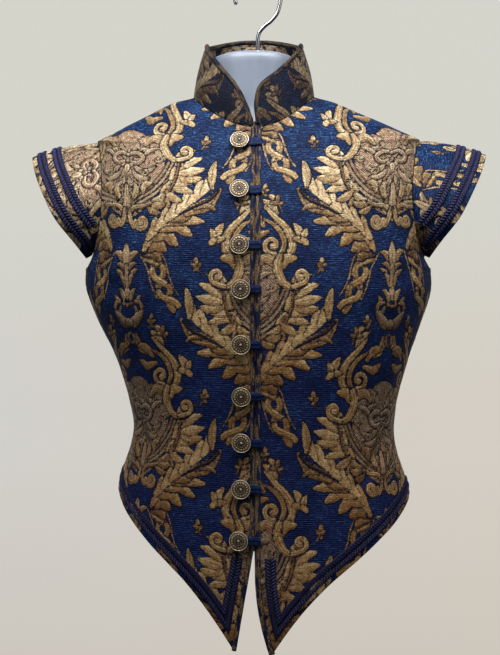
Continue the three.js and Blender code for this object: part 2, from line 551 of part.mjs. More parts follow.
// v from -1 to 1 runs from the wearer's right front edge round the back to the left
function collarPoint(v, h) {
  const deg = 180 - Math.abs(v) * 180, { high, lean } = collarSample(deg, v > 0);
  const front = deg < 90, u = front ? deg / 90 : (180 - deg) / 90;
  const base = panelPoint(front ? FRONT : BACK, u, LAST);
  base.x *= Math.sign(v) || 1;
  const inward = V(-base.x, -base.y * 0.9, 0).normalize();
  const up = SEAM + (high - SEAM) * h;
  return base.clone().addScaledVector(inward, lean * up + 0.03 * high * Math.sin(Math.PI * h) * -1).add(V(0, 0, up));
}
function collarFrame(v, h) {
  const e = 0.002, p = collarPoint(v, h);
  const dv = collarPoint(Math.min(v + e, 1), h).sub(collarPoint(Math.max(v - e, -1), h));
  const dh = collarPoint(v, Math.min(h + 0.02, 1)).sub(collarPoint(v, Math.max(h - 0.02, 0)));
  const n = V(-dv.y, dv.x, 0).cross(V(0, 0, 1)).cross(V(0, 0, 1)).normalize();
  const m = dv.clone().cross(dh).normalize();
  if (m.dot(V(p.x, p.y, 0)) < 0) m.negate();
  return { p, n: m.lengthSq() > 0 ? m : n };
}
// angles are closer together where the front corners curve
const collarWay = (i) => { const s = 2 * i - 1, a = Math.abs(s); return Math.sign(s) * (1 - Math.pow(1 - a, 1.7)) * COLLAR_END; };
add('collar', wall((i, j) => collarFrame(collarWay(i), j), 48, 2, 0, -COLLAR_WALL), COLLAR_CLOTH);

const bindingPath = [];
function bindingStop(v, h, toFront) {
  const { p, n } = collarFrame(v, h);
  const a = collarPoint(Math.max(v - 0.002, -1), 1), b = collarPoint(Math.min(v + 0.002, 1), 1);
  const along = toFront ? V(0, 0, -Math.sign(v)) : b.sub(a).normalize();
  const away = along.clone().cross(n).normalize();
  const inside = toFront ? collarPoint(v - Math.sign(v) * 0.01, h) : collarPoint(v, 0.9);
  if (away.dot(p.clone().sub(inside)) < 0) away.negate();
  bindingPath.push({ p: p.addScaledVector(n, -COLLAR_WALL / 2).addScaledVector(away, BINDING + 2 * LAY), side: away, up: n });
}
for (const h of [0.12, 0.5]) bindingStop(-COLLAR_END, h, true);
for (let k = 0; k <= 48; k++) bindingStop(collarWay(k / 48), 1, false);
for (const h of [0.5, 0.12]) bindingStop(COLLAR_END, h, true);
add('collar_binding', bar(bindingPath, BINDING, BINDING, 6), ROLLED);

// ---------------------------------------------------------------- buttons, loops
function frontAt(x, z) {
  const ax = Math.abs(x);
  let lo = 0, hi = LAST;
  for (let i = 0; i < 34; i++) {
    const mid = (lo + hi) / 2;
    if (panelPoint(FRONT, uAtX(FRONT, ax, mid), mid).z < z) lo = mid; else hi = mid;
  }
  const index = (lo + hi) / 2, f = panelFrame(FRONT, uAtX(FRONT, ax, index), index);
  if (x < 0) { f.p.x *= -1; f.n.x *= -1; }
  return f;
}

BUTTONS.forEach((spot, i) => {
  const { p, n } = frontAt(spot.x, spot.z), t = BUTTON.thick, u = BUTTON.under, r = BUTTON.radius;
  const profile = [[0, LAY + 0.15], [BUTTON.shank, LAY + 0.15], [BUTTON.shank, u], [r * 0.86, u], [r, u + t * 0.3],
    [r * 0.97, u + t * 0.62], [r * 0.84, u + t * 0.55], [r * 0.5, u + t * 0.85], [r * 0.2, u + t], [0, u + t * 0.9]];
  const shape = new THREE.LatheGeometry(profile.map(([x, y]) => new THREE.Vector2(x, y)), 14);
  const index = [], merged = [], seen = new Map(), pos = shape.getAttribute('position'), turn = new THREE.Quaternion().setFromUnitVectors(V(0, 1, 0), n);
  const ids = [];
  for (let k = 0; k < pos.count; k++) {
    const q = V(pos.getX(k), pos.getY(k), pos.getZ(k)), key = `${q.x.toFixed(3)},${q.y.toFixed(3)},${q.z.toFixed(3)}`;
    if (!seen.has(key)) { seen.set(key, merged.length); merged.push(q.applyQuaternion(turn).add(p)); }
    ids.push(seen.get(key));
  }
  const src = shape.getIndex();
  for (let k = 0; k < src.count; k += 3) {
    const f = [ids[src.getX(k)], ids[src.getX(k + 1)], ids[src.getX(k + 2)]];
    if (f[0] !== f[1] && f[1] !== f[2] && f[0] !== f[2]) index.push(f);
  }
  add(`button_${i + 1}`, geometryFrom(merged, index), BRASS);

  add(`loop_${i + 1}`, wall((a, b) => {
    const x = LOOP.from + (LOOP.to - LOOP.from) * a, z = spot.z + LOOP.high * (b - 0.5);
    return frontAt(Math.abs(x) < 0.01 ? 0.01 : x, z);
  }, 5, 1, LOOP.lift + LOOP.thick, LOOP.lift), TAB_CLOTH);
});

// ---------------------------------------------------------------- form and hook
{
  const around = 26, vertices = [], faces = [];
  for (const r of FORM) for (let k = 0; k < around; k++) {
    const a = k * 2 * Math.PI / around, s = Math.sin(a), c = Math.cos(a);
    const m = Math.pow(Math.pow(Math.abs(s), SQUARE) + Math.pow(Math.abs(c), SQUARE), -1 / SQUARE);
    vertices.push(V(r.half * m * s, (c > 0 ? r.front : r.back) * m * Math.abs(c), r.z));
  }
  const foot = vertices.push(V(0, 0, FORM_FOOT)) - 1, top = vertices.push(V(0, 0, FORM_TOP)) - 1;
  for (let i = 0; i < FORM.length - 1; i++) for (let k = 0; k < around; k++) {
    const a = i * around + k, b = i * around + (k + 1) % around;
    faces.push([a, b, b + around], [a, b + around, a + around]);
  }
  for (let k = 0; k < around; k++) {
    faces.push([foot, (k + 1) % around, k]);
    const e = (FORM.length - 1) * around;
    faces.push([top, e + k, e + (k + 1) % around]);
  }
  add('torso_form', geometryFrom(vertices, faces), PLASTIC);
}
{
  const line = [V(0, 0, FORM_TOP + LAY), V(0, 0, -82), V(-0.3, 0, -74), V(2.2, 0, -65), V(8.5, 0, -58), V(16, 0, -52), V(23, 0, -42.5)];
  const centre = V(0, 0, -HOOK.wire - 0.0 - HOOK.bend + 2 * HOOK.wire);
  for (let k = 0; k <= 18; k++) {
    const a = (-8 + k * 11.5) * RAD;
    line.push(centre.clone().add(V(Math.cos(a) * HOOK.bend, 0, Math.sin(a) * HOOK.bend)));
  }
  const curve = new THREE.CatmullRomCurve3(line), path = [], n = 34;
  for (let k = 0; k <= n; k++) {
    const p = curve.getPointAt(k / n), along = curve.getTangentAt(k / n);
    path.push({ p, side: V(0, 1, 0), up: along.clone().cross(V(0, 1, 0)).normalize() });
  }
  add('hook', bar(path, HOOK.wire, HOOK.wire, 7), CHROME);
}

export default root;
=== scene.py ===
import math
import bpy
import numpy as np
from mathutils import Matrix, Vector


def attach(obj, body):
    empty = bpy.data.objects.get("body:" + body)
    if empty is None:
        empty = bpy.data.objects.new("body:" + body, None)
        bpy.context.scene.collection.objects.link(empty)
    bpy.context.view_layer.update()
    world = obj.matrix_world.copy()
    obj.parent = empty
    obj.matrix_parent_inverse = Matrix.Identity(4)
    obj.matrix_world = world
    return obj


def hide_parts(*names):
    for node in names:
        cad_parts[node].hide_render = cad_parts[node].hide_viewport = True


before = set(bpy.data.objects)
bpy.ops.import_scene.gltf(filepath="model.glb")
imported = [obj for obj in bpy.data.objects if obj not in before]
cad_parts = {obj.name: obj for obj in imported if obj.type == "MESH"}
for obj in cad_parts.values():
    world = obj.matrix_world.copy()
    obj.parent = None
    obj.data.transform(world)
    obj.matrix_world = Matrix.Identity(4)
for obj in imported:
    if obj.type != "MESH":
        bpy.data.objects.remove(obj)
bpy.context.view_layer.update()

MM = 0.001
pi = math.pi

# =====================================================================
# 1. the garment's form, in millimetres, as in the part's own tables
# =====================================================================
CLOTH, COLLAR_WALL, WING_WALL, SEAM = 2.4, 3.0, 3.0, 0.5
LAY, LAY_WING, SQUARE = 0.35, 0.6, 2.25
PIPE_LEFT, PIPE_RIGHT, PIPE_THICK, FRONT_GAP = 5.8, 4.4, 3.6, 0.4
SLIT_TOP, SLIT_BEND = -651.0, -680.0
SLIT = {False: (0.02, 0.0019), True: (0.165, 0.0)}      # splay and bow of the left edge and of the mirrored right one
TIP_DIP, TIP_REACH = 36.0, 0.35
BRAID_THICK, HEM_EDGE, HEM_WIDE = 1.6, 5.0, 12.5
WING_OUTER, WING_INNER, WING_WIDE, SLIT_BRAID_TOP = 6.0, 24.5, 11.5, -664.0
BINDING = 2.4
LAST = 20
U_SEAM = 1 - 0.0016

# zMid, yMid, xEdge, yEdge, zEdge, arc, rise, wave, dip: hem to neckline
FRONT = np.array([
    (-763, -122, 170.5, 1, -599, 90, 1.58, 0, 1.1),
    (-704, -122, 164.0, 1, -577, 90, 1.5, 0, 0.55),
    (-648, -121, 157.0, 1, -556, 90, 1.4, 0, 0.2),
    (-594, -120, 153.2, 1, -538, 90, 1.5, 0.2, 0),
    (-548, -120, 153.6, 1, -519, 90, 1.5, 0.5, 0),
    (-500, -123, 159.0, 1, -488, 90, 1.5, 0.8, 0),
    (-452, -127, 171.5, 1, -450, 90, 1.5, 1, 0),
    (-408, -130, 188.0, 1, -410, 90, 1.5, 1, 0),
    (-370, -131, 201.5, 1, -372, 90, 1.5, 1, 0),
    (-340, -130, 202.5, 1, -346, 90, 1.5, 1, 0),
    (-326, -129, 197.0, -21, -341, 84, 1.5, 1, 0),
    (-309, -127, 187.0, -45, -325, 75, 1.5, 1, 0),
    (-286, -122, 178.5, -62, -297, 64, 1.5, 1, 0),
    (-263, -115, 175.5, -65, -267, 60, 1.5, 1, 0),
    (-242, -107, 177.5, -54, -236, 62, 1.5, 1, 0),
    (-226, -100, 183.0, -29, -209, 74, 1.5, 1, 0),
    (-215, -96, 190.0, 5, -194.5, 90, 1.5, 1, 0),
    (-209, -93, 158.0, 4, -179.0, 90, 1.5, 1, 0),
    (-203, -90, 126.0, 3, -164.5, 90, 1.5, 1, 0),
    (-197, -87, 97.0, 1, -151.5, 90, 1.5, 1, 0),
    (-191, -85, 71.0, 0, -144.0, 90, 1.5, 1, 0),
], float)
BACK = FRONT.copy()
BACK[:, 0] = (-712, -668, -624, -581, -541, -497, -452, -408, -368, -335, -317,
              -297, -268, -237, -206, -180, -162, -151, -142, -133, -125)
BACK[:, 1] = (112, 106, 96, 88, 84, 86, 92, 99, 105, 108, 109, 109, 107, 103, 97, 89, 82, 77, 72, 66, 60)
BACK[:, 3] = (1, 1, 1, 1, 1, 1, 1, 1, 1, 1, 23, 46, 62, 66, 58, 36, 5, 4, 3, 1, 0)
BACK[:, 8] = 0
# cap sleeve: is it on the back, armhole row, outer edge x y z
WING = [(0, 10.75, 197, -41, -334.5), (0, 12, 208.5, -60, -317), (0, 13, 228, -70, -291),
        (0, 14, 244.5, -61, -260), (0, 15, 258.5, -35, -232), (0, 16, 267.5, 5, -211),
        (1, 15, 258.5, 43, -231), (1, 14, 244.5, 66, -259), (1, 13, 228, 73, -290),
        (1, 12, 208.5, 62, -316), (1, 10.75, 197, 42, -334)]
# z, shift, turn, roll
HANG = np.array([(-150, -4.5, 0, 0), (-205, 0, 0, 0), (-330, 0, 0, 0), (-400, 1.5, 0.7, 0.006), (-470, 4.5, 2.0, 0.020),
                 (-540, 6.5, 3.1, 0.030), (-620, 7.0, 3.5, 0.032), (-780, 6.0, 3.5, 0.032)])
# degrees from the centre front, height on the wearer's right and left, lean
COLLAR = np.array([(4.5, 11, 26, 0.05), (8, 25, 41, 0.08), (13, 37, 48, 0.10), (22, 47, 52, 0.13), (36, 54, 55, 0.17),
                   (60, 58, 58, 0.21), (90, 60, 60, 0.23), (135, 59, 59, 0.16), (180, 57, 57, 0.12)])
COLLAR_END = 1 - 4.5 / 180
BUTTONS = [(-17.6, -209), (-16.9, -264.5), (-16.2, -325), (-14.6, -373), (-14.4, -432.5),
           (-14.2, -489), (-14.0, -539.5), (-14.4, -590), (-16.6, -646)]
# z, half width, front, back
FORM = np.array([
    (-657, 40, -48, 42), (-652, 74, -76, 62), (-640, 103, -95, 72), (-612, 128, -105, 72), (-575, 138, -106, 71),
    (-535, 140, -107, 72), (-495, 147, -110, 73), (-450, 161, -114, 79), (-408, 176, -117, 86), (-370, 184, -118, 92),
    (-335, 180, -117, 96), (-300, 168, -111, 96), (-265, 162, -100, 92), (-235, 161, -86, 84), (-213, 155, -72, 74),
    (-198, 139, -62, 66), (-184, 112, -54, 58), (-172, 85, -49, 52), (-160, 64, -46, 47), (-146, 53, -45, 45),
    (-125, 49, -44, 44), (-103, 48, -44, 43), (-98, 46.5, -42.5, 41.5), (-94, 36, -33, 32)], float)


def catmull(p0, p1, p2, p3, f):
    return 0.5 * (2 * p1 + (p2 - p0) * f + (2 * p0 - 5 * p1 + 4 * p2 - p3) * f * f + (3 * p1 - p0 - 3 * p2 + p3) * f ** 3)


SEAM_COLUMN = np.array([0, 0, 1, 1, 1, 1, 0, 0, 0], bool)


def sample(table, index):
    s = np.clip(np.asarray(index, float), 0, LAST)
    i = np.minimum(np.floor(s).astype(int), LAST - 1)
    f = (s - i)[..., None]
    a, b = table[i], table[i + 1]
    no0 = (i == 0)[..., None] | (np.isin(i, (9, 16))[..., None] & SEAM_COLUMN)
    no3 = (i + 2 > LAST)[..., None] | (np.isin(i + 1, (9, 16))[..., None] & SEAM_COLUMN)
    p0 = np.where(no0, 2 * a - b, table[np.maximum(i - 1, 0)])
    p3 = np.where(no3, 2 * b - a, table[np.minimum(i + 2, LAST)])
    return catmull(p0, a, b, p3, f)


def polar(a):
    s, c = np.abs(np.sin(a)), np.abs(np.cos(a))
    r = (s ** SQUARE + c ** SQUARE) ** (-1 / SQUARE)
    return r * np.sin(a), r * np.cos(a)


def panel_point(table, u, index):
    u, index = np.broadcast_arrays(np.asarray(u, float), np.asarray(index, float))
    r = sample(table, index)
    z0, y0, xe, ye, ze, arc, rise, wave, dip = np.moveaxis(r, -1, 0)
    au = np.abs(u)
    e0, e1 = polar(np.radians(arc))
    h0, h1 = polar(np.radians(au * arc))
    sx, sy = h0 / e0, (1 - h1) / (1 - e1)
    climb = (1 - wave) * (1 - np.maximum(0, 1 - au) ** rise) + wave * (0.5 - 0.5 * np.cos(pi * np.minimum(au, 1)))
    drop = dip * TIP_DIP * np.maximum(0, 1 - au / TIP_REACH) ** 2
    return np.stack([np.sign(u) * xe * sx, y0 + (ye - y0) * sy, z0 + (ze - z0) * climb - drop], -1)


def unit(v):
    return v / np.maximum(np.linalg.norm(v, axis=-1, keepdims=True), 1e-12)


def panel_frame(table, u, index):
    p = panel_point(table, u, index)
    u, index = np.broadcast_arrays(np.asarray(u, float), np.asarray(index, float))
    du = panel_point(table, np.minimum(u + .004, 1), index) - panel_point(table, np.maximum(u - .004, -1), index)
    dt = panel_point(table, u, np.minimum(index + .05, LAST)) - panel_point(table, u, np.maximum(index - .05, 0))
    n = unit(np.cross(du, dt))
    out = np.stack([p[..., 0], p[..., 1] * 1.6, np.maximum(0, p[..., 2] + 260) * 1.2], -1)
    flip = np.sum(n * out, -1) < 0
    n[flip] *= -1
    return p, n


def u_at_x(table, x, index):
    index = np.asarray(index, float)
    lo, hi = np.zeros(index.shape), np.ones(index.shape)
    for _ in range(26):
        mid = (lo + hi) / 2
        less = panel_point(table, mid, index)[..., 0] < x
        lo, hi = np.where(less, mid, lo), np.where(less, hi, mid)
    return (lo + hi) / 2


def front_edge_u(index, inset, mirror):
    splay, bow = SLIT[mirror]
    u = u_at_x(FRONT, inset, index)
    for _ in range(12):
        z = panel_point(FRONT, u, index)[..., 2]
        u = u_at_x(FRONT, inset + splay * np.maximum(0, SLIT_TOP - z) + bow * np.maximum(0, SLIT_BEND - z) ** 2, index)
    return u


def hang(p):
    z = p[..., 2]
    i = np.clip(np.searchsorted(-HANG[:, 0], -z, side="left") - 1, 0, len(HANG) - 2)
    a, b = HANG[i], HANG[i + 1]
    f = np.clip((z - a[..., 0]) / (b[..., 0] - a[..., 0]), 0, 1)
    g = (f * f * (3 - 2 * f))[..., None]
    sh, turn, roll = np.moveaxis((a + (b - a) * g)[..., 1:], -1, 0)
    c, s = np.cos(np.radians(turn)), np.sin(np.radians(turn))
    x, y = p[..., 0], p[..., 1]
    return np.stack([x * c + y * s + sh, y * c - x * s, z - roll * x], -1)


def front_at(x, z):
    x, z = np.broadcast_arrays(np.asarray(x, float), np.asarray(z, float))
    ax = np.maximum(np.abs(x), 0.01)
    lo, hi = np.zeros(x.shape), np.full(x.shape, float(LAST))
    for _ in range(34):
        mid = (lo + hi) / 2
        less = panel_point(FRONT, u_at_x(FRONT, ax, mid), mid)[..., 2] < z
        lo, hi = np.where(less, mid, lo), np.where(less, hi, mid)
    p, n = panel_frame(FRONT, u_at_x(FRONT, ax, (lo + hi) / 2), (lo + hi) / 2)
    s = np.where(x < 0, -1.0, 1.0)
    p[..., 0] *= s
    n[..., 0] *= s
    return p, n


def smooth(a, b, x):
    t = np.clip((x - a) / (b - a), 0, 1)
    return t * t * (3 - 2 * t)


# =====================================================================
# 2. meshes
# =====================================================================
PIECES = {}


def make_mesh(name, verts, faces, material, attrs=None, vectors=None, smooth_shade=True, hangs=True):
    verts = np.asarray(verts, float).reshape(-1, 3)
    if hangs:
        verts = hang(verts)
    faces = [np.asarray(f, np.int32) for f in faces if len(f)]
    loops = np.concatenate([f.ravel() for f in faces])
    sizes = np.concatenate([np.full(len(f), f.shape[1], np.int32) for f in faces])
    starts = np.concatenate([[0], np.cumsum(sizes)[:-1]]).astype(np.int32)
    me = bpy.data.meshes.new(name)
    me.vertices.add(len(verts))
    me.vertices.foreach_set("co", (verts * MM).astype(np.float32).ravel())
    me.loops.add(len(loops))
    me.loops.foreach_set("vertex_index", loops.astype(np.int32))
    me.polygons.add(len(sizes))
    me.polygons.foreach_set("loop_start", starts)
    me.polygons.foreach_set("loop_total", sizes)
    me.polygons.foreach_set("use_smooth", np.full(len(sizes), smooth_shade))
    me.update(calc_edges=True)
    me.validate()
    for key, val in (attrs or {}).items():
        a = me.attributes.new(key, "FLOAT", "POINT")
        a.data.foreach_set("value", np.asarray(val, np.float32).ravel())
    for key, val in (vectors or {}).items():
        a = me.attributes.new(key, "FLOAT_VECTOR", "POINT")
        a.data.foreach_set("vector", np.asarray(val, np.float32).ravel())
    # outward faces
    v0, v1, v2 = (verts[loops[starts + k]] for k in range(3))
    vol = np.sum(v0 * np.cross(v1, v2))
    vol += sum(np.sum(verts[f[:, 0]] * np.cross(verts[f[:, 2]], verts[f[:, 3]])) for f in faces if f.shape[1] == 4)
    if vol < 0:
        me.flip_normals()
    ob = bpy.data.objects.new(name, me)
    bpy.context.scene.collection.objects.link(ob)
    me.materials.append(material)
    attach(ob, "root")
    PIECES[name] = ob
    return ob


def quads(a, b, start=0, flip=False):
    i, j = np.meshgrid(np.arange(a - 1), np.arange(b - 1), indexing="ij")
    q = np.stack([i * b + j, (i + 1) * b + j, (i + 1) * b + j + 1, i * b + j + 1], -1).reshape(-1, 4) + start
    return q[:, ::-1] if flip else q


def shell(name, outer, inner, material, attrs=None, vectors=None, k=4, mirror=False, bulge=0.3, hangs=True):
    """closed sheet: fine outer grid, coarse inner grid, fine rounded rim between. attrs are given on the outer grid."""
    A, B = outer.shape[:2]
    assert (A - 1) % k == 0 and (B - 1) % k == 0, (name, A, B)
    ia, ib = np.arange(0, A, k), np.arange(0, B, k)
    coarse = inner[np.ix_(ia, ib)]
    a2, b2 = len(ia), len(ib)
    ring = [(i, 0) for i in range(A - 1)] + [(A - 1, j) for j in range(B - 1)] \
        + [(i, B - 1) for i in range(A - 1, 0, -1)] + [(0, j) for j in range(B - 1, 0, -1)]
    ring = np.array(ring)
    # outward way at the rim, in the sheet's own plane
    ri, rj = ring[:, 0], ring[:, 1]
    ini, inj = np.clip(ri, 1, A - 2), np.clip(rj, 1, B - 2)
    way = unit(outer[ri, rj] - outer[ini, inj])
    mid = (outer[ri, rj] + inner[ri, rj]) / 2 + way * bulge
    n0, n1 = A * B, A * B + len(ring)
    fine = ri * B + rj
    nxt = np.roll(np.arange(len(ring)), -1)
    rim1 = np.stack([fine, n0 + np.arange(len(ring)), n0 + nxt, fine[nxt]], -1)
    # fans from the fine mid ring to the coarse inner border
    m = len(ring) // k
    cor = np.array([n1 + (ring[q * k, 0] // k) * b2 + ring[q * k, 1] // k for q in range(m)])
    tris = []
    for q in range(m):
        c0, c1 = cor[q], cor[(q + 1) % m]
        for s in range(k):
            f0, f1 = n0 + q * k + s, n0 + (q * k + s + 1) % len(ring)
            if s == k // 2:
                tris.append((f0, c0, c1))
            tris.append((f0, c0 if s < k // 2 else c1, f1))
    verts = np.concatenate([outer.reshape(-1, 3), mid, coarse.reshape(-1, 3)])
    faces = [quads(A, B), quads(a2, b2, n1, True), rim1, np.array(tris)]
    # one consistent way round: rim faces follow the outer grid's border
    def spread(v):
        v = np.asarray(v, float)
        tail = v.shape[2:]
        return np.concatenate([v.reshape((-1,) + tail), v[ri, rj], v[np.ix_(ia, ib)].reshape((-1,) + tail)])
    at = {key: spread(v) for key, v in (attrs or {}).items()}
    at["inside"] = np.concatenate([np.zeros(n0), np.full(len(ring), 0.35), np.ones(a2 * b2)])
    ve = {key: spread(v) for key, v in (vectors or {}).items()}
    if mirror:
        verts = verts * np.array([-1, 1, 1])
        faces = [f[:, ::-1] for f in faces]
    ob = make_mesh(name, verts, faces, material, at, ve, hangs=hangs)
    return ob


def tube(name, centre, side, up, rs, ru, sides, material, attrs=None, scale=None, mirror=False, hangs=True, caps=True):
    n = len(centre)
    a = (np.arange(sides)) * 2 * pi / sides
    sc = np.ones(n) if scale is None else scale
    rs, ru = np.broadcast_to(rs, (n, sides)), np.broadcast_to(ru, (n, sides))
    ring = centre[:, None] + side[:, None] * (np.cos(a)[None, :] * rs * sc[:, None])[..., None] \
        + up[:, None] * (np.sin(a)[None, :] * ru * sc[:, None])[..., None]
    verts = ring.reshape(-1, 3)
    i, j = np.meshgrid(np.arange(n - 1), np.arange(sides), indexing="ij")
    j2 = (j + 1) % sides
    q = np.stack([i * sides + j, i * sides + j2, (i + 1) * sides + j2, (i + 1) * sides + j], -1).reshape(-1, 4)
    verts = np.concatenate([verts, centre[:1], centre[-1:]])
    c0, c1 = n * sides, n * sides + 1
    k = np.arange(sides)
    t0 = np.stack([np.full(sides, c0), (k + 1) % sides, k], -1)
    t1 = np.stack([np.full(sides, c1), (n - 1) * sides + k, (n - 1) * sides + (k + 1) % sides], -1)
    at = {}
    for key, v in (attrs or {}).items():
        v = np.asarray(v, float)
        at[key] = np.concatenate([v.reshape(-1), [v[0].mean(), v[-1].mean()]])
    faces = [q, t0, t1]
    if mirror:
        verts = verts * np.array([-1, 1, 1])
        faces = [f[:, ::-1] for f in faces]
    return make_mesh(name, verts, faces, material, at, hangs=hangs), ring


def run_length(p):
    return np.concatenate([[0], np.cumsum(np.linalg.norm(np.diff(p, axis=0), axis=-1))])


# =====================================================================
# 3. the damask: a traditional half-drop ogee, drawn here. x runs
#    from a motif's axis, y down from the place where the bands are closest
# =====================================================================
HALF, DROP, RES = 177.0, 144.0, 0.5
NX, NY = int(HALF / RES) + 1, int(2 * DROP / RES)
TX, TY = np.meshgrid(np.arange(NX) * RES, np.arange(NY) * RES)
FIELDS = {"gold": np.full((NY, NX), -8.0), "dark": np.full((NY, NX), -8.0), "brown": np.zeros((NY, NX)),
          "tone": np.full((NY, NX), 0.5), "phase": np.zeros((NY, NX)), "across": np.full((NY, NX), 9.0),
          "vein": np.zeros((NY, NX)), "high": np.zeros((NY, NX))}


def curve_through(pts, step=0.7):
    pts = np.asarray(pts, float)
    ext = np.concatenate([[2 * pts[0] - pts[1]], pts, [2 * pts[-1] - pts[-2]]])
    out, par = [], []
    for i in range(len(pts) - 1):
        n = max(2, int(np.linalg.norm(pts[i + 1] - pts[i]) / step))
        f = (np.arange(n) / n)[:, None]
        out.append(catmull(ext[i], ext[i + 1], ext[i + 2], ext[i + 3], f))
        par.append(i + f[:, 0])
    out.append(pts[-1:])
    par.append(np.array([len(pts) - 1.0]))
    return np.concatenate(out), np.concatenate(par)


def stamp(pts, widths, brown=0.0, tone=0.6, veins="along", outline=1.1, high=1.0, vein=1.0, shade=0.24):
    """one painted stroke: curve through pts, half widths along it; veins 'leaf' gives chevrons and a midrib"""
    c, par = curve_through(pts)
    w = np.interp(par, np.linspace(0, len(pts) - 1, len(widths)), widths)
    run = run_length(c)
    tan = unit(np.gradient(c, axis=0))
    pad = max(widths) + outline + 1.0
    lo, hi = c.min(0) - pad, c.max(0) + pad
    for sx, ox, oy in ((1, 0, 0), (-1, 0, 0), (-1, HALF, DROP), (1, -HALF, DROP)):
        for k in (-1, 0, 1):
            # local = (sx * x + ox, y - oy - k * 2 * DROP)
            if sx > 0:
                x0, x1 = lo[0] - ox, hi[0] - ox
            else:
                x0, x1 = ox - hi[0], ox - lo[0]
            y0, y1 = lo[1] + oy + k * 2 * DROP, hi[1] + oy + k * 2 * DROP
            i0, i1 = max(0, int(x0 / RES)), min(NX, int(x1 / RES) + 2)
            j0, j1 = max(0, int(y0 / RES)), min(NY, int(y1 / RES) + 2)
            if i0 >= i1 or j0 >= j1:
                continue
            lx = sx * TX[j0:j1, i0:i1] + ox
            ly = TY[j0:j1, i0:i1] - oy - k * 2 * DROP
            d = np.hypot(lx[..., None] - c[:, 0], ly[..., None] - c[:, 1])
            best = np.argmax(w - d, axis=-1)
            sd = np.take_along_axis(w - d, best[..., None], -1)[..., 0]
            px, py = lx - c[best, 0], ly - c[best, 1]
            al = px * tan[best, 0] + py * tan[best, 1]
            ac = px * -tan[best, 1] + py * tan[best, 0]
            ph = run[best] + al - np.abs(ac) * 1.1 if veins == "leaf" else ac + 0.15 * np.sin(run[best])
            if veins == "rope":
                ph = run[best] + al + ac * 1.2
            f = {key: v[j0:j1, i0:i1] for key, v in FIELDS.items()}
            near = sd > -outline
            f["gold"][...] = np.maximum(np.minimum(f["gold"], -(sd + outline)), sd)
            f["dark"][...] = np.maximum(f["dark"], sd + outline)
            f["brown"][near] = brown
            # painted light and shade: each stroke's tone is raised on its side towards the upper left and lowered on
            # the other side, by shade
            lit = ac * (0.5 * tan[best, 1] - 0.86 * tan[best, 0]) / np.maximum(w[best], 0.8)
            f["tone"][near] = (tone + shade * np.clip(lit, -1, 1))[near]
            f["phase"][near] = ph[near]
            f["across"][near] = (np.abs(ac) if veins == "leaf" else np.full(ac.shape, 9.0))[near]
            f["vein"][near] = vein
            f["high"][near] = high


def leaf(base, tip, wide, bend=0.0, **kw):
    b, t = np.array(base, float), np.array(tip, float)
    d = t - b
    mid = (b + t) / 2 + np.array([-d[1], d[0]]) * bend
    q = [b, 0.25 * b + 0.5 * mid + 0.25 * t, t] if not bend else [b, (b + mid) / 2 + (mid - (b + t) / 2) * 0.25, mid, (mid + t) / 2 + (mid - (b + t) / 2) * 0.25, t]
    s = np.linspace(0, 1, 9)
    prof = np.sin(pi * np.clip(s, 0.0, 1) ** 0.85) ** 0.8
    prof = np.maximum(prof, 0.42 * (1 - s))
    kw.setdefault("veins", "leaf")
    stamp(q, list(wide / 2 * np.maximum(prof, 0.05)), **kw)


def lobe(base, tip, wide, bend=0.0, **kw):
    """a blunt, full lobe"""
    b, t = np.array(base, float), np.array(tip, float)
    d = t - b
    mid = (b + t) / 2 + np.array([-d[1], d[0]]) * bend
    end = t - unit(d) * wide * 0.16
    kw.setdefault("veins", "along")
    kw.setdefault("vein", 0.45)
    stamp([b, (b + mid) / 2, mid, (mid + end) / 2, end], [wide * v / 2 for v in (0.45, 0.78, 0.98, 1.0, 0.82, 0.36)], **kw)


def spray(points, wide, **kw):
    """several lobes from one root, the last on top"""
    for base, tip, k in points:
        lobe(base, tip, wide * k, **kw)


def curl(centre, r, start, turns, wide, tail=None, way=1, **kw):
    """spiral that winds in to a round bud at its centre; tail points lead into it"""
    n = int(10 * turns) + 2
    a = np.radians(start) + way * np.linspace(0, turns * 2 * pi, n)
    rr = r * (1 - np.linspace(0, 1, n) ** 1.1 * 0.8)
    sp = [(centre[0] + rr[i] * math.cos(a[i]), centre[1] + rr[i] * math.sin(a[i])) for i in range(n)]
    pts = list(tail or []) + sp
    m = len(tail or [])
    widths = [wide * 0.5] * m + list(np.linspace(wide * 0.5, wide * 0.42, n - 2)) + [wide * 0.6, wide * 0.75]
    stamp(pts, widths, **kw)


BRIGHT, MID, DULL = 0.85, 0.6, 0.38

# --- the ogee band: its thin side lines and the two plaited strands
band = np.array([(27, -16), (33, -6), (39, 5), (42.5, 19), (47.5, 32), (55, 44), (63, 54)], float)
bc, bp = curve_through(band, 1.0)
bt = unit(np.gradient(bc, axis=0))
bn = np.stack([-bt[:, 1], bt[:, 0]], -1)
br = run_length(bc)
for s, a, b in ((1, 0.06, 0.90), (-1, 0.0, 0.72)):
    i0, i1 = int(a * len(bc)), int(b * len(bc))
    stamp((bc + bn * s * -11.5)[i0:i1:6], [0.7, 1.0, 0.7], brown=0.35, tone=MID, outline=0.8, vein=0.0, high=0.6)


def strand(s, part, tone):
    off = np.sin(br / br[-1] * 3.5 * pi + 0.5) * 6.6 * s * np.interp(br, [0, 12, br[-1] * 0.7, br[-1]], [0.6, 1, 1, 0.55])
    q = bc + bn * off[:, None]
    n = len(q)
    q = q[int(part[0] * n):int(part[1] * n)]
    if len(q) > 9:
        stamp(q[::4], [3.3, 3.7, 3.7, 3.3], tone=tone, veins="along", outline=1.0, vein=0.8)


# over and under in turn
for lo, hi, first in ((0.0, 0.40, 1), (0.34, 0.70, -1), (0.64, 1.0, 1)):
    strand(-first, (lo, hi), 0.54)
    strand(first, (lo, hi), 0.66)

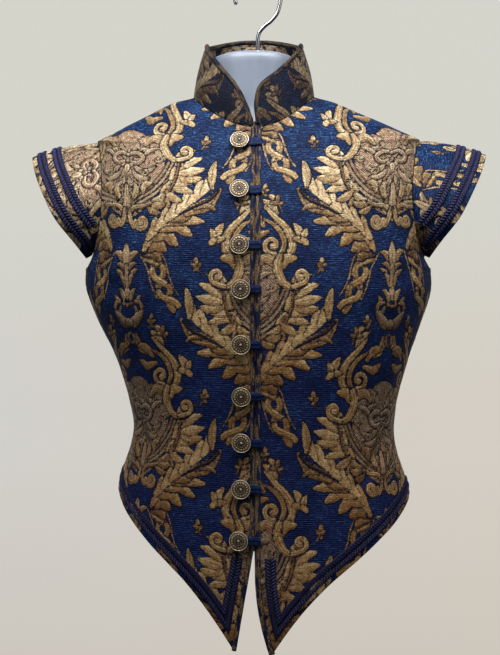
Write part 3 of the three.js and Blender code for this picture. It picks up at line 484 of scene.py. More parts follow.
# --- the leafy half of the band
for base, tip, wide, bend, tone in (
        ((152, 136), (133, 143), 11, 0.22, 0.34), ((151, 131), (126, 132), 13.5, 0.24, 0.40), ((145, 119), (113, 127), 13.5, 0.26, 0.52),
        ((135, 110), (97, 116), 12.5, 0.18, 0.62), ((127, 103), (84, 101), 11.0, 0.06, 0.68)):
    lobe(base, tip, wide, bend, tone=tone, outline=1.2)
lobe((122, 100), (96, 90), 9, -0.1, tone=0.52, outline=1.1)
lobe((104, 93), (66, 63), 11.5, -0.14, tone=0.50, outline=1.1)
leaf((96, 87), (72, 73), 4.5, -0.08, tone=0.7, outline=0.8)
leaf((90, 85), (71, 90), 5.5, 0.2, tone=0.56, outline=1.0)
stamp([(70, 66), (80, 76), (97, 84), (123, 98), (142, 114), (152, 134)], [0.5, 0.8, 0.9, 0.9, 0.8, 0.6], brown=0.85, tone=0.16, outline=2.0, vein=0, high=0.4)
stamp([(78, 72), (97, 82.4), (123, 96.4), (141, 111)], [0.4, 0.7, 0.4], brown=0.5, tone=0.62, outline=0.3, vein=0, high=0.5, shade=0)
for base, tip, wide, bend, tone in (
        ((154, 132), (147, 110), 9.0, -0.12, 0.52), ((149, 120), (139, 97), 10.5, -0.12, 0.64), ((139, 110), (126, 86), 11, -0.12, 0.74),
        ((127, 100), (113, 75), 11.5, -0.12, 0.80), ((114, 90), (100, 64), 12, -0.10, 0.86), ((101, 80), (87, 53), 11.5, -0.10, 0.88),
        ((87, 70), (77, 43), 10, -0.06, 0.84)):
    lobe(base, tip, wide, bend, tone=tone + 0.04, outline=0.8)
leaf((76, 62), (72, 28), 9.5, 0.06, tone=0.76, outline=1.2)

# --- shield of hatched ground with its rope border and tracery
for q, w in (([(0, 146), (0, 226)], [16, 30, 38, 44, 40, 30, 18]), ([(24, 152), (30, 186)], [15, 20, 16])):
    stamp(q, w, brown=1.0, tone=0.42, veins="rope", vein=0.0, outline=1.0, high=0.35, shade=0)
for s in (0, 1, 2):
    o = 4.4 * s
    stamp([(62 - o * 0.9, 172 - o * 0.35), (53 - o * 0.9, 195 - o * 0.6), (36 - o * 0.7, 215 - o * 0.8), (10, 230 - o)],
          [1.3, 1.7, 1.6, 1.2], brown=0.45, tone=0.68 - 0.1 * s, outline=0.9, veins="rope", vein=0.9, shade=0)
for base, tip, wide, bend in (((3, 165), (26, 149), 8, 0.3), ((4, 172), (34, 163), 8, -0.3), ((8, 180), (37, 181), 7.5, 0.3),
                              ((4, 160), (11, 143), 7, 0.2), ((8, 190), (30, 196), 7, 0.2), ((3, 198), (16, 210), 6.5, 0.2),
                              ((20, 172), (42, 157), 6, -0.2), ((36, 174), (50, 163), 5.5, 0.2)):
    leaf(base, tip, wide, bend, brown=0.45, tone=0.66, outline=1.1)
for cx, cy, r, st in ((13, 156, 5.5, 40), (24, 189, 6, 200), (40, 172, 5, 120), (9, 205, 4.5, 300)):
    curl((cx, cy), r, st, 0.8, 2.4, way=1 if cx < 20 else -1, brown=0.4, tone=0.62, outline=0.8, vein=0.3)
stamp([(0, 166), (11, 163), (20, 170), (14, 178), (0, 176)], [2.5, 3.6, 3.2, 2.6, 2.5], brown=0.8, tone=0.5, outline=1.1)
stamp([(0, 192), (0, 184), (5, 181.5)], [1.2, 3.6, 2.6], brown=0.3, tone=0.7, outline=1.1)

# --- acanthus on both shoulders of the shield: bodies first, then their pointed lobes
stamp([(57, 200), (63, 189), (69, 178), (71, 168)], [5.5, 9.0, 9.5, 6.0], tone=0.62, outline=1.2, vein=0.3)
stamp([(47, 212), (55, 206), (64, 206)], [4.5, 7.0, 5.0], tone=0.62, outline=1.2, vein=0.3)
for base, tip, wide, bend, tone in (
        ((46, 217), (54, 229), 8, 0.1, 0.62), ((50, 212), (68, 222), 9.5, 0.12, 0.72), ((52, 207), (80, 212), 10, -0.05, 0.82),
        ((56, 203), (83, 201), 10.5, -0.1, 0.88),
        ((63, 194), (90, 194), 10.5, 0.08, 0.76), ((62, 189), (93, 183), 11.5, 0.02, 0.86), ((62, 184), (90, 169), 11, -0.06, 0.88),
        ((62, 181), (82, 158), 10.5, -0.12, 0.80), ((60, 178), (71, 157), 7.5, -0.12, 0.70)):
    leaf(base, tip, wide, bend, tone=tone, outline=0.7, vein=0.55)
stamp([(53, 211), (59, 198), (62, 184), (64, 172)], [1.0, 1.3, 1.2, 0.7], brown=0.3, tone=0.3, outline=0.9, vein=0)

# --- facing scrolls that frame the axis
leaf((42, 99), (28, 76), 10.5, 0.15, tone=0.76)
leaf((22, 102), (9, 79), 10.5, -0.2, tone=0.66)
leaf((30, 106), (6, 95), 9.5, 0.2, tone=0.6)
lobe((34, 113), (9, 111), 9, -0.2, tone=0.54)
stamp([(31, 84), (42, 96), (54, 108), (60.5, 121), (60, 133), (51, 141)], [1.4, 3.0, 3.9, 4.3, 4.0, 2.8], tone=0.74, outline=1.2)
stamp([(30, 98), (41, 105), (49, 115), (52, 126), (48, 136), (38, 140)], [1.2, 2.2, 2.9, 2.8, 2.3, 1.8], tone=0.55, outline=1.2)
curl((39.5, 127), 10.5, 75, 0.95, 5.6, tail=[(50, 140), (45, 140.5)], way=1, tone=0.72, outline=1.2)
stamp([(22, 150), (31, 142), (42, 146), (48, 152)], [2.6, 5.0, 5.0, 3.0], tone=0.62, brown=0.1)
lobe((48, 154), (66, 140), 11, -0.25, tone=0.64)
stamp([(47, 140), (44.5, 150), (47, 160), (53, 169), (62, 172.5), (72, 169)], [3.4, 4.4, 4.6, 4.0, 3.2, 2.9], tone=0.74, outline=1.3)
curl((69.5, 160.5), 8.6, 72, 0.9, 5.2, tail=[(62, 172)], way=-1, tone=0.78, outline=1.2)

# --- stem, drops and the lower pair of scrolls
for base, tip, wide, bend, tone in (((12, 223), (21, 207), 8, -0.3, 0.76), ((8, 223), (10, 203), 8, 0.2, 0.76),
                                    ((22, 215), (34, 203), 8, -0.3, 0.7), ((34, 223), (47, 213), 8.5, 0.2, 0.74),
                                    ((32, 227), (49, 225), 8.5, 0.15, 0.64), ((28, 231), (43, 236), 7.5, 0.15, 0.55),
                                    ((5, 223), (14, 236), 7, 0.1, 0.5)):
    leaf(base, tip, wide, bend, tone=tone, outline=1.0)
stamp([(0, 208), (0, 222), (0, 244)], [2.0, 4.0, 5.0], brown=0.35, tone=0.6, outline=1.3)
stamp([(3, 239), (10, 232), (20, 230), (31, 226)], [2.8, 2.4, 2.1, 1.6], brown=0.1, tone=0.62, outline=1.1)
curl((20, 246.5), 8.8, 178, 1.0, 5.6, tail=[(2, 236), (5, 247), (9, 252)], way=-1, brown=0.1, tone=0.62, outline=1.2)

# --- small sprays on the open ground
for (cx, cy), turn, size, tone in (((70, 117), -28, 1.25, 0.82), ((43, 78), -40, 1.0, 0.68), ((92, 149), 14, 0.85, 0.66), ((30, 66), 15, 0.8, 0.66)):
    r = np.radians(turn)
    rot = lambda x, y: (cx + size * (x * math.cos(r) - y * math.sin(r)), cy + size * (x * math.sin(r) + y * math.cos(r)))
    if size > 1.2:
        leaf(rot(0, 8), rot(0, -13), 9.5, 0.05, tone=tone, vein=0.5)
        leaf(rot(1, 6), rot(8.5, -3), 7, -0.15, tone=tone - 0.05, vein=0.5)
        leaf(rot(-1, 6), rot(-8, -1), 7, 0.15, tone=tone - 0.12, vein=0.5)
        lobe(rot(0, 3), rot(2, 10), 7, 0.0, tone=tone - 0.1)
    else:
        lobe(rot(0, 0), rot(-1, -11), 6.0 * size, 0.05, tone=tone)
        leaf(rot(0, 3), rot(8, -4), 4.6 * size, -0.1, tone=tone - 0.08)
        leaf(rot(0, 4), rot(-7, -2), 4.4 * size, 0.1, tone=tone - 0.14)
        leaf(rot(0, 5), rot(6, 5), 4.0 * size, 0.1, tone=tone - 0.1)
        stamp([rot(0, 0), rot(0, 6), rot(-3, 13)], [0.8, 0.7, 0.5], tone=0.4, outline=0.6, vein=0)

# --- upright flower, small crown, cup and drop on the axis
for base, tip, wide, bend, tone, brown in (
        ((5, 25), (17, 7), 6.6, -0.2, 0.56, 0.25), ((3, 27), (10, 12), 6.4, -0.1, 0.6, 0.25), ((3, 5), (17, -10), 8.5, -0.25, 0.54, 0.3),
        ((2, 12), (15, 2), 6, -0.25, 0.46, 0.3), ((0, 5), (0, -20), 9.5, 0, 0.6, 0.25),
        ((0, 40), (0, 25), 7.6, 0, 0.66, 0.3), ((5, 43), (13, 29), 6.4, -0.15, 0.56, 0.3), ((9, 45), (19, 36), 5.4, 0.1, 0.5, 0.3)):
    leaf(base, tip, wide, bend, tone=tone, brown=brown, outline=1.1, vein=0.6)
stamp([(0, 4), (0, 26)], [2.4, 2.0], brown=0.3, tone=0.52, outline=1.0, vein=0.3)
stamp([(11, 44), (18, 46), (19, 53), (13, 55), (10, 49)], [1.8, 2.1, 2.1, 1.8, 1.5], brown=0.2, tone=0.55, outline=0.9)
stamp([(0, 48), (6, 46)], [2.0, 1.6], tone=0.5)
stamp([(0, 68), (8, 67), (15, 60), (20, 54)], [5.6, 6.4, 4.8, 1.4], brown=0.75, tone=0.4, outline=1.1, vein=0.2)
stamp([(0, 79), (4.5, 82), (4.5, 88), (0, 91)], [1.5, 1.7, 1.7, 1.5], tone=0.5, outline=0.9)
FIELDS["gold"] = np.clip(FIELDS["gold"], -4, 4)
FIELDS["dark"] = np.clip(FIELDS["dark"], -4, 4)


def damask(x, y):
    """the drawing's fields at cloth places x, y in mm; x from an axis, y down from a narrow place of the bands"""
    x = np.abs(x)
    cell = np.floor(x / HALF).astype(int)
    fx = x - cell * HALF
    odd = cell % 2 == 1
    fx = np.where(odd, HALF - fx, fx)      # mirror, so cells run A..B, B..A
    fy = np.mod(y, 2 * DROP)
    gx, gy = fx / RES, fy / RES
    i, j = np.clip(gx.astype(int), 0, NX - 2), gy.astype(int) % NY
    a, b = gx - i, gy - np.floor(gy)
    j2 = (j + 1) % NY
    out = {}
    for key, v in FIELDS.items():
        if key in ("gold", "dark", "high"):
            out[key] = (v[j, i] * (1 - a) + v[j, i + 1] * a) * (1 - b) + (v[j2, i] * (1 - a) + v[j2, i + 1] * a) * b
        else:
            out[key] = np.where(b < 0.5, np.where(a < 0.5, v[j, i], v[j, i + 1]), np.where(a < 0.5, v[j2, i], v[j2, i + 1]))
    return out


# =====================================================================
# 4. materials, all procedural
# =====================================================================
def rgb(r, g, b):
    f = lambda c: c / 255 / 12.92 if c / 255 <= 0.04045 else ((c / 255 + 0.055) / 1.055) ** 2.4
    return (f(r), f(g), f(b), 1.0)


class Graph:
    def __init__(self, name):
        self.mat = bpy.data.materials.new(name)
        self.mat.use_nodes = True
        self.tree = self.mat.node_tree
        self.tree.nodes.clear()
        self.out = self.tree.nodes.new("ShaderNodeOutputMaterial")

    def put(self, value, socket):
        if value is None:
            return
        if isinstance(value, bpy.types.NodeSocket):
            self.tree.links.new(value, socket)
        else:
            socket.default_value = value

    def math(self, op, a, b=None, c=None, clamp=False):
        n = self.tree.nodes.new("ShaderNodeMath")
        n.operation, n.use_clamp = op, clamp
        for k, v in enumerate((a, b, c)):
            self.put(v, n.inputs[k])
        return n.outputs[0]

    def add(self, a, b):
        return self.math("ADD", a, b)

    def mul(self, a, b):
        return self.math("MULTIPLY", a, b)

    def attr(self, name, vector=False):
        n = self.tree.nodes.new("ShaderNodeAttribute")
        n.attribute_name = name
        return n.outputs["Vector" if vector else "Fac"]

    def scaled(self, vec, s, shift=(0, 0, 0)):
        n = self.tree.nodes.new("ShaderNodeMapping")
        n.inputs["Scale"].default_value = s
        n.inputs["Location"].default_value = shift
        self.put(vec, n.inputs["Vector"])
        return n.outputs[0]

    def split(self, vec):
        n = self.tree.nodes.new("ShaderNodeSeparateXYZ")
        self.put(vec, n.inputs[0])
        return n.outputs

    def join(self, x, y, z):
        n = self.tree.nodes.new("ShaderNodeCombineXYZ")
        for k, v in enumerate((x, y, z)):
            self.put(v, n.inputs[k])
        return n.outputs[0]

    def noise(self, vec, scale=1.0, detail=2.0, rough=0.5, distort=0.0, colour=False):
        n = self.tree.nodes.new("ShaderNodeTexNoise")
        self.put(vec, n.inputs["Vector"])
        n.inputs["Scale"].default_value = scale
        n.inputs["Detail"].default_value = detail
        n.inputs["Roughness"].default_value = rough
        n.inputs["Distortion"].default_value = distort
        return n.outputs["Color" if colour else "Fac"]

    def cells(self, vec, scale=1.0, feature="F1", random=1.0):
        n = self.tree.nodes.new("ShaderNodeTexVoronoi")
        n.feature = feature
        self.put(vec, n.inputs["Vector"])
        n.inputs["Scale"].default_value = scale
        n.inputs["Randomness"].default_value = random
        return n.outputs

    def ramp(self, fac, stops, mode="LINEAR"):
        n = self.tree.nodes.new("ShaderNodeValToRGB")
        n.color_ramp.interpolation = mode
        e = n.color_ramp.elements
        while len(e) < len(stops):
            e.new(0.5)
        for k, (p, c) in enumerate(stops):
            e[k].position = p
            e[k].color = c if hasattr(c, "__len__") else (c, c, c, 1)
        self.put(fac, n.inputs[0])
        return n.outputs[0]

    def mix(self, f, a, b, blend="MIX"):
        n = self.tree.nodes.new("ShaderNodeMix")
        n.data_type, n.blend_type = "RGBA", blend
        self.put(f, n.inputs[0])
        self.put(a, n.inputs[6])
        self.put(b, n.inputs[7])
        return n.outputs[2]

    def lerp(self, f, a, b):
        n = self.tree.nodes.new("ShaderNodeMix")
        n.data_type = "FLOAT"
        self.put(f, n.inputs[0])
        self.put(a, n.inputs[2])
        self.put(b, n.inputs[3])
        return n.outputs[0]

    def fit(self, x, a, b, c=0.0, d=1.0, soft=False):
        n = self.tree.nodes.new("ShaderNodeMapRange")
        n.interpolation_type = "SMOOTHSTEP" if soft else "LINEAR"
        n.clamp = True
        self.put(x, n.inputs[0])
        for k, v in enumerate((a, b, c, d)):
            self.put(v, n.inputs[k + 1])
        return n.outputs[0]

    def bump(self, height, distance, strength=1.0):
        n = self.tree.nodes.new("ShaderNodeBump")
        n.inputs["Strength"].default_value = strength
        n.inputs["Distance"].default_value = distance
        self.put(height, n.inputs["Height"])
        return n.outputs[0]

    def finish(self, **inputs):
        n = self.tree.nodes.new("ShaderNodeBsdfPrincipled")
        for key, v in inputs.items():
            self.put(v, n.inputs[key.replace("_", " ")])
        self.tree.links.new(n.outputs[0], self.out.inputs[0])
        return self.mat


def line(g, x, period, width):
    """1 on thin lines every period"""
    f = g.math("FRACT", g.math("DIVIDE", x, period))
    return g.fit(g.math("ABSOLUTE", g.math("SUBTRACT", f, 0.5)), 0.5 * width, 0.5 * width + 0.16, 1.0, 0.0)


def brocade(name, ground=((3, 7, 20), (7, 22, 56), (20, 54, 104), (78, 118, 160)),
            metal=((40, 30, 26), (106, 86, 60), (168, 144, 106), (236, 222, 188)), warm=(150, 98, 58)):
    g = Graph(name)
    at = g.attr("cloth", True)
    x, y, _ = g.split(at)
    wob = g.mul(g.math("SUBTRACT", g.noise(g.scaled(at, (1 / 16, 1 / 16, 1)), 1, 2), 0.5), 2.4)
    yy = g.add(y, wob)
    flow = g.join(x, yy, 0.0)
    s1 = g.noise(g.scaled(flow, (1 / 7.5, 1 / 1.25, 1)), 1, 2, 0.6)
    s2 = g.noise(g.scaled(flow, (1 / 2.4, 1 / 0.95, 1), (31, 7, 0)), 1, 1, 0.5)
    patch = g.noise(g.scaled(at, (1 / 34, 1 / 26, 1), (3, 9, 0)), 1, 2)
    fine = g.noise(g.scaled(at, (1 / 0.8, 1 / 0.7, 1)), 1, 1, 0.5)
    grit = g.noise(g.scaled(at, (1 / 1.9, 1 / 1.2, 1), (5, 2, 0)), 1, 3, 0.75)
    sketch = g.noise(g.scaled(at, (1 / 3.6, 1 / 3.2, 1), (17, 12, 0)), 1, 3, 0.65, 0.8)
    ribs = line(g, yy, 2.25, 0.30)
    # ground: deep weft with broken bright picks
    st = g.add(g.add(g.mul(s1, 0.52), g.mul(s2, 0.40)), g.add(g.mul(g.math("SUBTRACT", patch, 0.5), 0.18), g.mul(fine, 0.08)))
    blue = g.ramp(st, [(0.36, rgb(*ground[0])), (0.47, rgb(*ground[1])), (0.565, rgb(*ground[2])), (0.66, rgb(*ground[3]))])
    blue = g.mix(g.mul(ribs, 0.38), blue, rgb(4, 6, 20))
    # painted shade: lower_shade rises towards the bottom of the garment; the blue ground also darkens towards deep blue
    # lower down
    lower_shade = g.fit(y, -300, -560)
    blue = g.mix(g.mul(g.fit(y, -200, -500), 0.40), blue, rgb(15, 18, 76))
    # figure: gold thread, shaded by the drawing's tone
    tone, brown = g.attr("tone"), g.attr("brown")
    big = g.noise(g.scaled(at, (1 / 7, 1 / 7, 1), (1, 4, 0)), 1, 2)
    gt = g.add(g.add(g.mul(grit, 0.66), g.mul(fine, 0.16)), g.add(g.mul(tone, 0.42), g.mul(g.math("SUBTRACT", big, 0.5), 0.24)))
    gt = g.add(gt, g.mul(g.math("SUBTRACT", sketch, 0.5), 0.50))
    gold = g.ramp(gt, [(0.42, rgb(*metal[0])), (0.56, rgb(*metal[1])), (0.70, rgb(*metal[2])), (0.88, rgb(*metal[3]))])
    warmth = g.noise(g.scaled(at, (1 / 9, 1 / 12, 1), (11, 3, 0)), 1, 1)
    # painted shade: lower down the gold is toned warmer and darker; the warmth noise adds random warm patches
    gold = g.mix(g.fit(y, -190, -420, 0.0, 0.62), gold, rgb(255, 226, 172), "MULTIPLY")
    gold = g.mix(g.add(g.fit(warmth, 0.52, 0.70, 0.0, 0.40), g.mul(lower_shade, 0.26)), gold, rgb(*warm))
    # shield ground: crinkled brown
    cr = g.noise(g.scaled(at, (1 / 3.0, 1 / 2.4, 1), (8, 8, 0)), 1, 3, 0.7, 1.2)
    hatch = line(g, g.add(g.mul(x, 0.72), g.mul(y, 0.72)), 2.1, 0.36)
    earth = g.add(g.add(g.mul(cr, 0.66), g.mul(grit, 0.3)), g.add(g.mul(hatch, -0.10), g.mul(g.math("SUBTRACT", tone, 0.40), 0.5)))
    earth = g.ramp(earth, [(0.30, rgb(46, 32, 30)), (0.41, rgb(112, 86, 70)), (0.52, rgb(186, 160, 132)), (0.66, rgb(236, 220, 192))])
    # painted shade: the brown ground turns darker and redder lower down
    figure = g.mix(brown, gold, g.mix(g.mul(lower_shade, 0.25), earth, rgb(96, 60, 38)))
    vein = g.attr("vein")
    lines = g.mul(line(g, g.add(g.attr("phase"), g.mul(sketch, 3.2)), 3.0, 0.2), vein)
    rib = g.fit(g.attr("across"), 0.35, 0.75, 1.0, 0.0)
    carved = g.math("MAXIMUM", g.mul(lines, 0.52), g.mul(rib, 0.6))
    figure = g.mix(carved, figure, rgb(40, 30, 32))
    figure = g.mix(g.mul(ribs, 0.09), figure, rgb(60, 44, 34))
    jag = g.add(g.mul(g.math("SUBTRACT", s2, 0.5), 1.5), g.mul(g.math("SUBTRACT", sketch, 0.5), 2.6))
    sd, dk = g.add(g.attr("gold"), jag), g.add(g.attr("dark"), jag)
    is_gold = g.fit(sd, -0.16, 0.16)
    is_dark = g.fit(dk, -0.3, 0.25)
    base = g.mix(g.mul(is_dark, 0.88), blue, rgb(10, 8, 20))
    # raised edges shade the figure's rim
    rim = g.fit(sd, 0.1, 1.2, 0.5, 0.0)
    figure = g.mix(rim, figure, rgb(52, 34, 32))
    # painted shade: the whole cloth darkens a little lower down
    color = g.mix(g.mul(lower_shade, 0.16), g.mix(is_gold, base, figure), rgb(12, 10, 16))
    # the reverse: muted, with long floats
    inside = g.attr("inside")
    back = g.mix(g.fit(s1, 0.5, 0.6), rgb(26, 27, 40), rgb(104, 88, 66))
    color = g.mix(g.fit(inside, 0.6, 0.9), color, back)
    h = g.add(g.mul(ribs, g.lerp(is_gold, -0.5, -0.15)), g.add(g.mul(s1, 1.0), g.mul(grit, 0.8)))
    h = g.add(h, g.mul(is_gold, g.add(0.35, g.mul(carved, -0.8))))
    nrm = g.bump(h, 0.0005, 0.8)
    rough = g.lerp(is_gold, 0.62, 0.46)
    return g.finish(Base_Color=color, Roughness=rough, Metallic=g.mul(is_gold, 0.15), Normal=nrm,
                    Sheen_Weight=0.02, Sheen_Roughness=0.45, Specular_IOR_Level=0.12, IOR=1.45, Anisotropic=0.3)


def plaited(name):
    g = Graph(name)
    at = g.attr("cloth", True)
    high, lane = g.attr("high"), g.attr("tone")
    n = g.noise(g.scaled(at, (1 / 0.8, 1 / 0.8, 1)), 1, 2, 0.6)
    silk = g.noise(g.scaled(at, (1 / 6, 1 / 6, 1)), 1, 2)
    # painted light and shade: the braid is lighter on the strands' raised tops and near black in the valleys between
    # them, following their height
    c = g.ramp(g.add(g.mul(high, 0.75), g.mul(n, 0.3)), [(0.28, rgb(2, 2, 8)), (0.50, rgb(9, 10, 32)), (0.80, rgb(40, 42, 96)), (1.0, rgb(104, 108, 160))])
    c = g.mix(g.fit(silk, 0.5, 0.7, 0.0, 0.35), c, rgb(34, 20, 62))
    c = g.mix(g.mul(g.fit(lane, 0.0, 1.0), 0.12), c, rgb(16, 34, 78))
    th = line(g, g.add(g.attr("phase"), g.mul(n, 0.3)), 0.62, 0.3)
    c = g.mix(g.mul(th, 0.45), c, rgb(4, 4, 14))
    nrm = g.bump(g.add(g.mul(th, -0.6), n), 0.0003, 0.7)
    return g.finish(Base_Color=c, Roughness=g.fit(n, 0.3, 0.7, 0.38, 0.55), Normal=nrm, Sheen_Weight=0.02,
                    Sheen_Roughness=0.4, Specular_IOR_Level=0.18)


def rolled(name, shade_dim=1.0):
    """the same brocade, rolled: bronze and navy float past in short runs"""
    g = Graph(name)
    at = g.attr("cloth", True)
    x, y, _ = g.split(at)
    run = g.noise(g.join(g.mul(x, 1 / 17), g.mul(y, 1 / 4), 0.0), 1, 2, 0.55)
    tw = line(g, g.add(x, g.mul(y, 1.1)), 1.5, 0.35)
    grit = g.noise(g.scaled(at, (1 / 1.1, 1 / 1.4, 1)), 1, 2, 0.7)
    # shade_dim darkens the bronze and navy as painted shade
    bronze = g.ramp(grit, [(0.36, rgb(44, 31, 25)), (0.52, rgb(112 * shade_dim, 86 * shade_dim, 60 * shade_dim)), (0.66, rgb(184 * shade_dim, 160 * shade_dim, 118 * shade_dim))])
    navy = g.ramp(grit, [(0.38, rgb(4, 6, 20)), (0.55, rgb(10 * shade_dim, 24 * shade_dim, 62 * shade_dim)), (0.68, rgb(38 * shade_dim, 66 * shade_dim, 120 * shade_dim))])
    c = g.mix(g.fit(run, 0.47, 0.53), navy, bronze)
    c = g.mix(g.mul(tw, 0.5), c, rgb(16, 14, 24))
    nrm = g.bump(g.add(g.mul(tw, -0.7), grit), 0.0004, 0.8)
    return g.finish(Base_Color=c, Roughness=0.55, Normal=nrm, Metallic=0.08, Sheen_Weight=0.02, Sheen_Roughness=0.4, Specular_IOR_Level=0.15)


def tab_cloth(name):
    g = Graph(name)
    at = g.attr("cloth", True)
    s = g.noise(g.scaled(at, (1 / 5, 1 / 0.8, 1)), 1, 2, 0.6)
    f = g.noise(g.scaled(at, (1 / 0.7, 1 / 0.7, 1)), 1, 2)
    c = g.ramp(g.add(g.mul(s, 0.7), g.mul(f, 0.3)), [(0.38, rgb(3, 8, 26)), (0.52, rgb(7, 24, 62)), (0.66, rgb(20, 52, 104))])
    return g.finish(Base_Color=c, Roughness=0.6, Normal=g.bump(s, 0.0004, 0.8), Sheen_Weight=0.02, Sheen_Roughness=0.4, Specular_IOR_Level=0.12)


def brass(name):
    g = Graph(name)
    at = g.attr("cloth", True)
    high = g.attr("high")
    n = g.noise(g.scaled(at, (1 / 2.5, 1 / 2.5, 1 / 2.5)), 1, 3, 0.6)
    f = g.noise(g.scaled(at, (1 / 0.5, 1 / 0.5, 1 / 0.5)), 1, 2)
    h = g.add(high, g.mul(g.math("SUBTRACT", n, 0.5), 0.35))
    c = g.ramp(h, [(0.18, rgb(24, 18, 14)), (0.42, rgb(92, 76, 56)), (0.66, rgb(176, 156, 122)), (0.9, rgb(244, 232, 204))])
    met = g.fit(h, 0.2, 0.6, 0.15, 0.5)
    return g.finish(Base_Color=c, Roughness=g.fit(n, 0.3, 0.7, 0.30, 0.48), Metallic=met, Normal=g.bump(f, 0.0001, 0.5))


def plastic(name):
    g = Graph(name)
    co = g.tree.nodes.new("ShaderNodeTexCoord").outputs["Object"]
    n = g.noise(co, 9.0, 3, 0.55)
    f = g.noise(co, 420.0, 2, 0.5)
    s = g.noise(g.scaled(co, (60, 60, 6)), 1, 2, 0.6)
    c = g.ramp(g.add(g.mul(n, 0.7), g.mul(s, 0.3)), [(0.35, rgb(116, 125, 140)), (0.65, rgb(134, 144, 160))])
    return g.finish(Base_Color=c, Roughness=g.fit(s, 0.3, 0.7, 0.30, 0.40), Normal=g.bump(g.add(f, g.mul(n, 4.0)), 0.00008, 0.4),
                    Subsurface_Weight=0.08, Subsurface_Radius=(0.01, 0.01, 0.012), Specular_IOR_Level=0.5)


def chrome(name):
    g = Graph(name)
    co = g.tree.nodes.new("ShaderNodeTexCoord").outputs["Object"]
    n = g.noise(co, 30.0, 3, 0.6)
    f = g.noise(g.scaled(co, (900, 900, 200)), 1, 1)
    c = g.ramp(n, [(0.3, rgb(168, 168, 170)), (0.7, rgb(206, 206, 208))])
    return g.finish(Base_Color=c, Metallic=1.0, Roughness=g.fit(n, 0.3, 0.7, 0.14, 0.26), Normal=g.bump(f, 0.00003, 0.3))


BROCADE = brocade("brocade_damask")
# painted shade: the collar's brocade is a darker copy of the main one, with dimmer ground and gold
SHADED_COLLAR_BROCADE = brocade("brocade_collar_shaded", ground=((2, 3, 9), (4, 8, 24), (12, 24, 50), (44, 60, 90)),
                         metal=((16, 12, 11), (46, 36, 28), (88, 72, 54), (148, 132, 106)), warm=(66, 42, 30))
BRAID_CLOTH, ROLLED, TAB, BRASS = plaited("plaited_braid"), rolled("rolled_brocade_edge"), tab_cloth("loop_cloth"), brass("antique_brass")
# painted shade: the collar's binding is the rolled edge darkened to 0.66
BINDING_CLOTH = rolled("rolled_collar_edge", 0.66)
PLASTIC, CHROME = plastic("form_plastic"), chrome("hook_chrome")


# =====================================================================
# 5. the cloth pieces
# =====================================================================
def lattice(x, y, seed, cell):
    """smooth random field, about -1 to 1, with the given cell size in mm"""
    r = np.random.default_rng(seed).uniform(-1, 1, (64, 64))
    gx, gy = x / cell + 500.0, y / cell + 500.0
    i, j = np.floor(gx).astype(int), np.floor(gy).astype(int)
    a, b = gx - i, gy - j
    a, b = a * a * (3 - 2 * a), b * b * (3 - 2 * b)
    v = lambda p, q: r[p % 64, q % 64]
    return (v(i, j) * (1 - a) + v(i + 1, j) * a) * (1 - b) + (v(i, j + 1) * (1 - a) + v(i + 1, j + 1) * a) * b


def creases(x, y, table):
    """sum of soft troughs (negative) and ridges, each given as: points along, half width, height"""
    h = np.zeros(x.shape)
    for pts, wide, depth in table:
        c, par = curve_through(np.array(pts, float), 4.0)
        t = par / par[-1]
        amp = np.sin(pi * np.clip(t, 0.02, 0.98)) ** 0.6
        lo, hi = c.min(0) - 3 * wide, c.max(0) + 3 * wide
        m = (x > lo[0]) & (x < hi[0]) & (y > lo[1]) & (y < hi[1])
        d2 = (x[m][:, None] - c[:, 0]) ** 2 + (y[m][:, None] - c[:, 1]) ** 2
        k = np.argmin(d2, axis=1)
        h[m] += depth * amp[k] * np.exp(-d2[np.arange(len(k)), k] / wide ** 2)
    return h


def even_rows(table, n):
    t = np.linspace(0, LAST, 1200)
    a = sum(run_length(panel_point(table, np.full(t.shape, q), t)) for q in (0.12, 0.5, 0.8))
    return np.interp(np.linspace(0, a[-1], n), a, t)


def even_columns(table, n, row=6.0):
    u = np.linspace(0, 1, 800)
    a = run_length(panel_point(table, u, np.full(u.shape, row)))
    return np.interp(np.linspace(0, a[-1], n), a, u)


def cloth_places(p, n, t):
    """arc length along the weft and along the warp for a grid of rows t; y is height below the chest"""
    d = np.diff(p, axis=1)
    s = ((n[:, 1:] + n[:, :-1]) / 2)[..., 2] ** 2 * smooth(8, 10.5, t)[:, None]
    dx = np.sqrt(d[..., 0] ** 2 + (1 - s) * d[..., 1] ** 2)
    x0 = p[:, :1, 0] if p[0, 0, 0] > -1 else np.zeros((len(t), 1))
    X = np.concatenate([x0, x0 + np.cumsum(dx, axis=1)], 1)
    if p[0, 0, 0] < -1:            # whole back: zero on the centre line
        mid = X.shape[1] // 2
        X = X - X[:, mid:mid + 1]
    Y = p[..., 2].copy()
    k9 = int(np.searchsorted(t, 9.0))
    for k in range(k9, len(t) - 1):
        dd = np.sum((p[k + 1] - p[k]) ** 2, axis=-1)
        Y[k + 1] = Y[k] + np.sqrt(np.maximum(0.02, dd - (X[k + 1] - X[k]) ** 2))
    return X, Y


def relief(f):
    puff = 1 - np.exp(-np.clip(f["gold"] + 0.25, 0, 9) / 1.0)
    groove = np.clip(f["dark"], 0, 1.2) * (f["gold"] < 0)
    return 0.26 * puff * f["high"] - 0.08 * groove


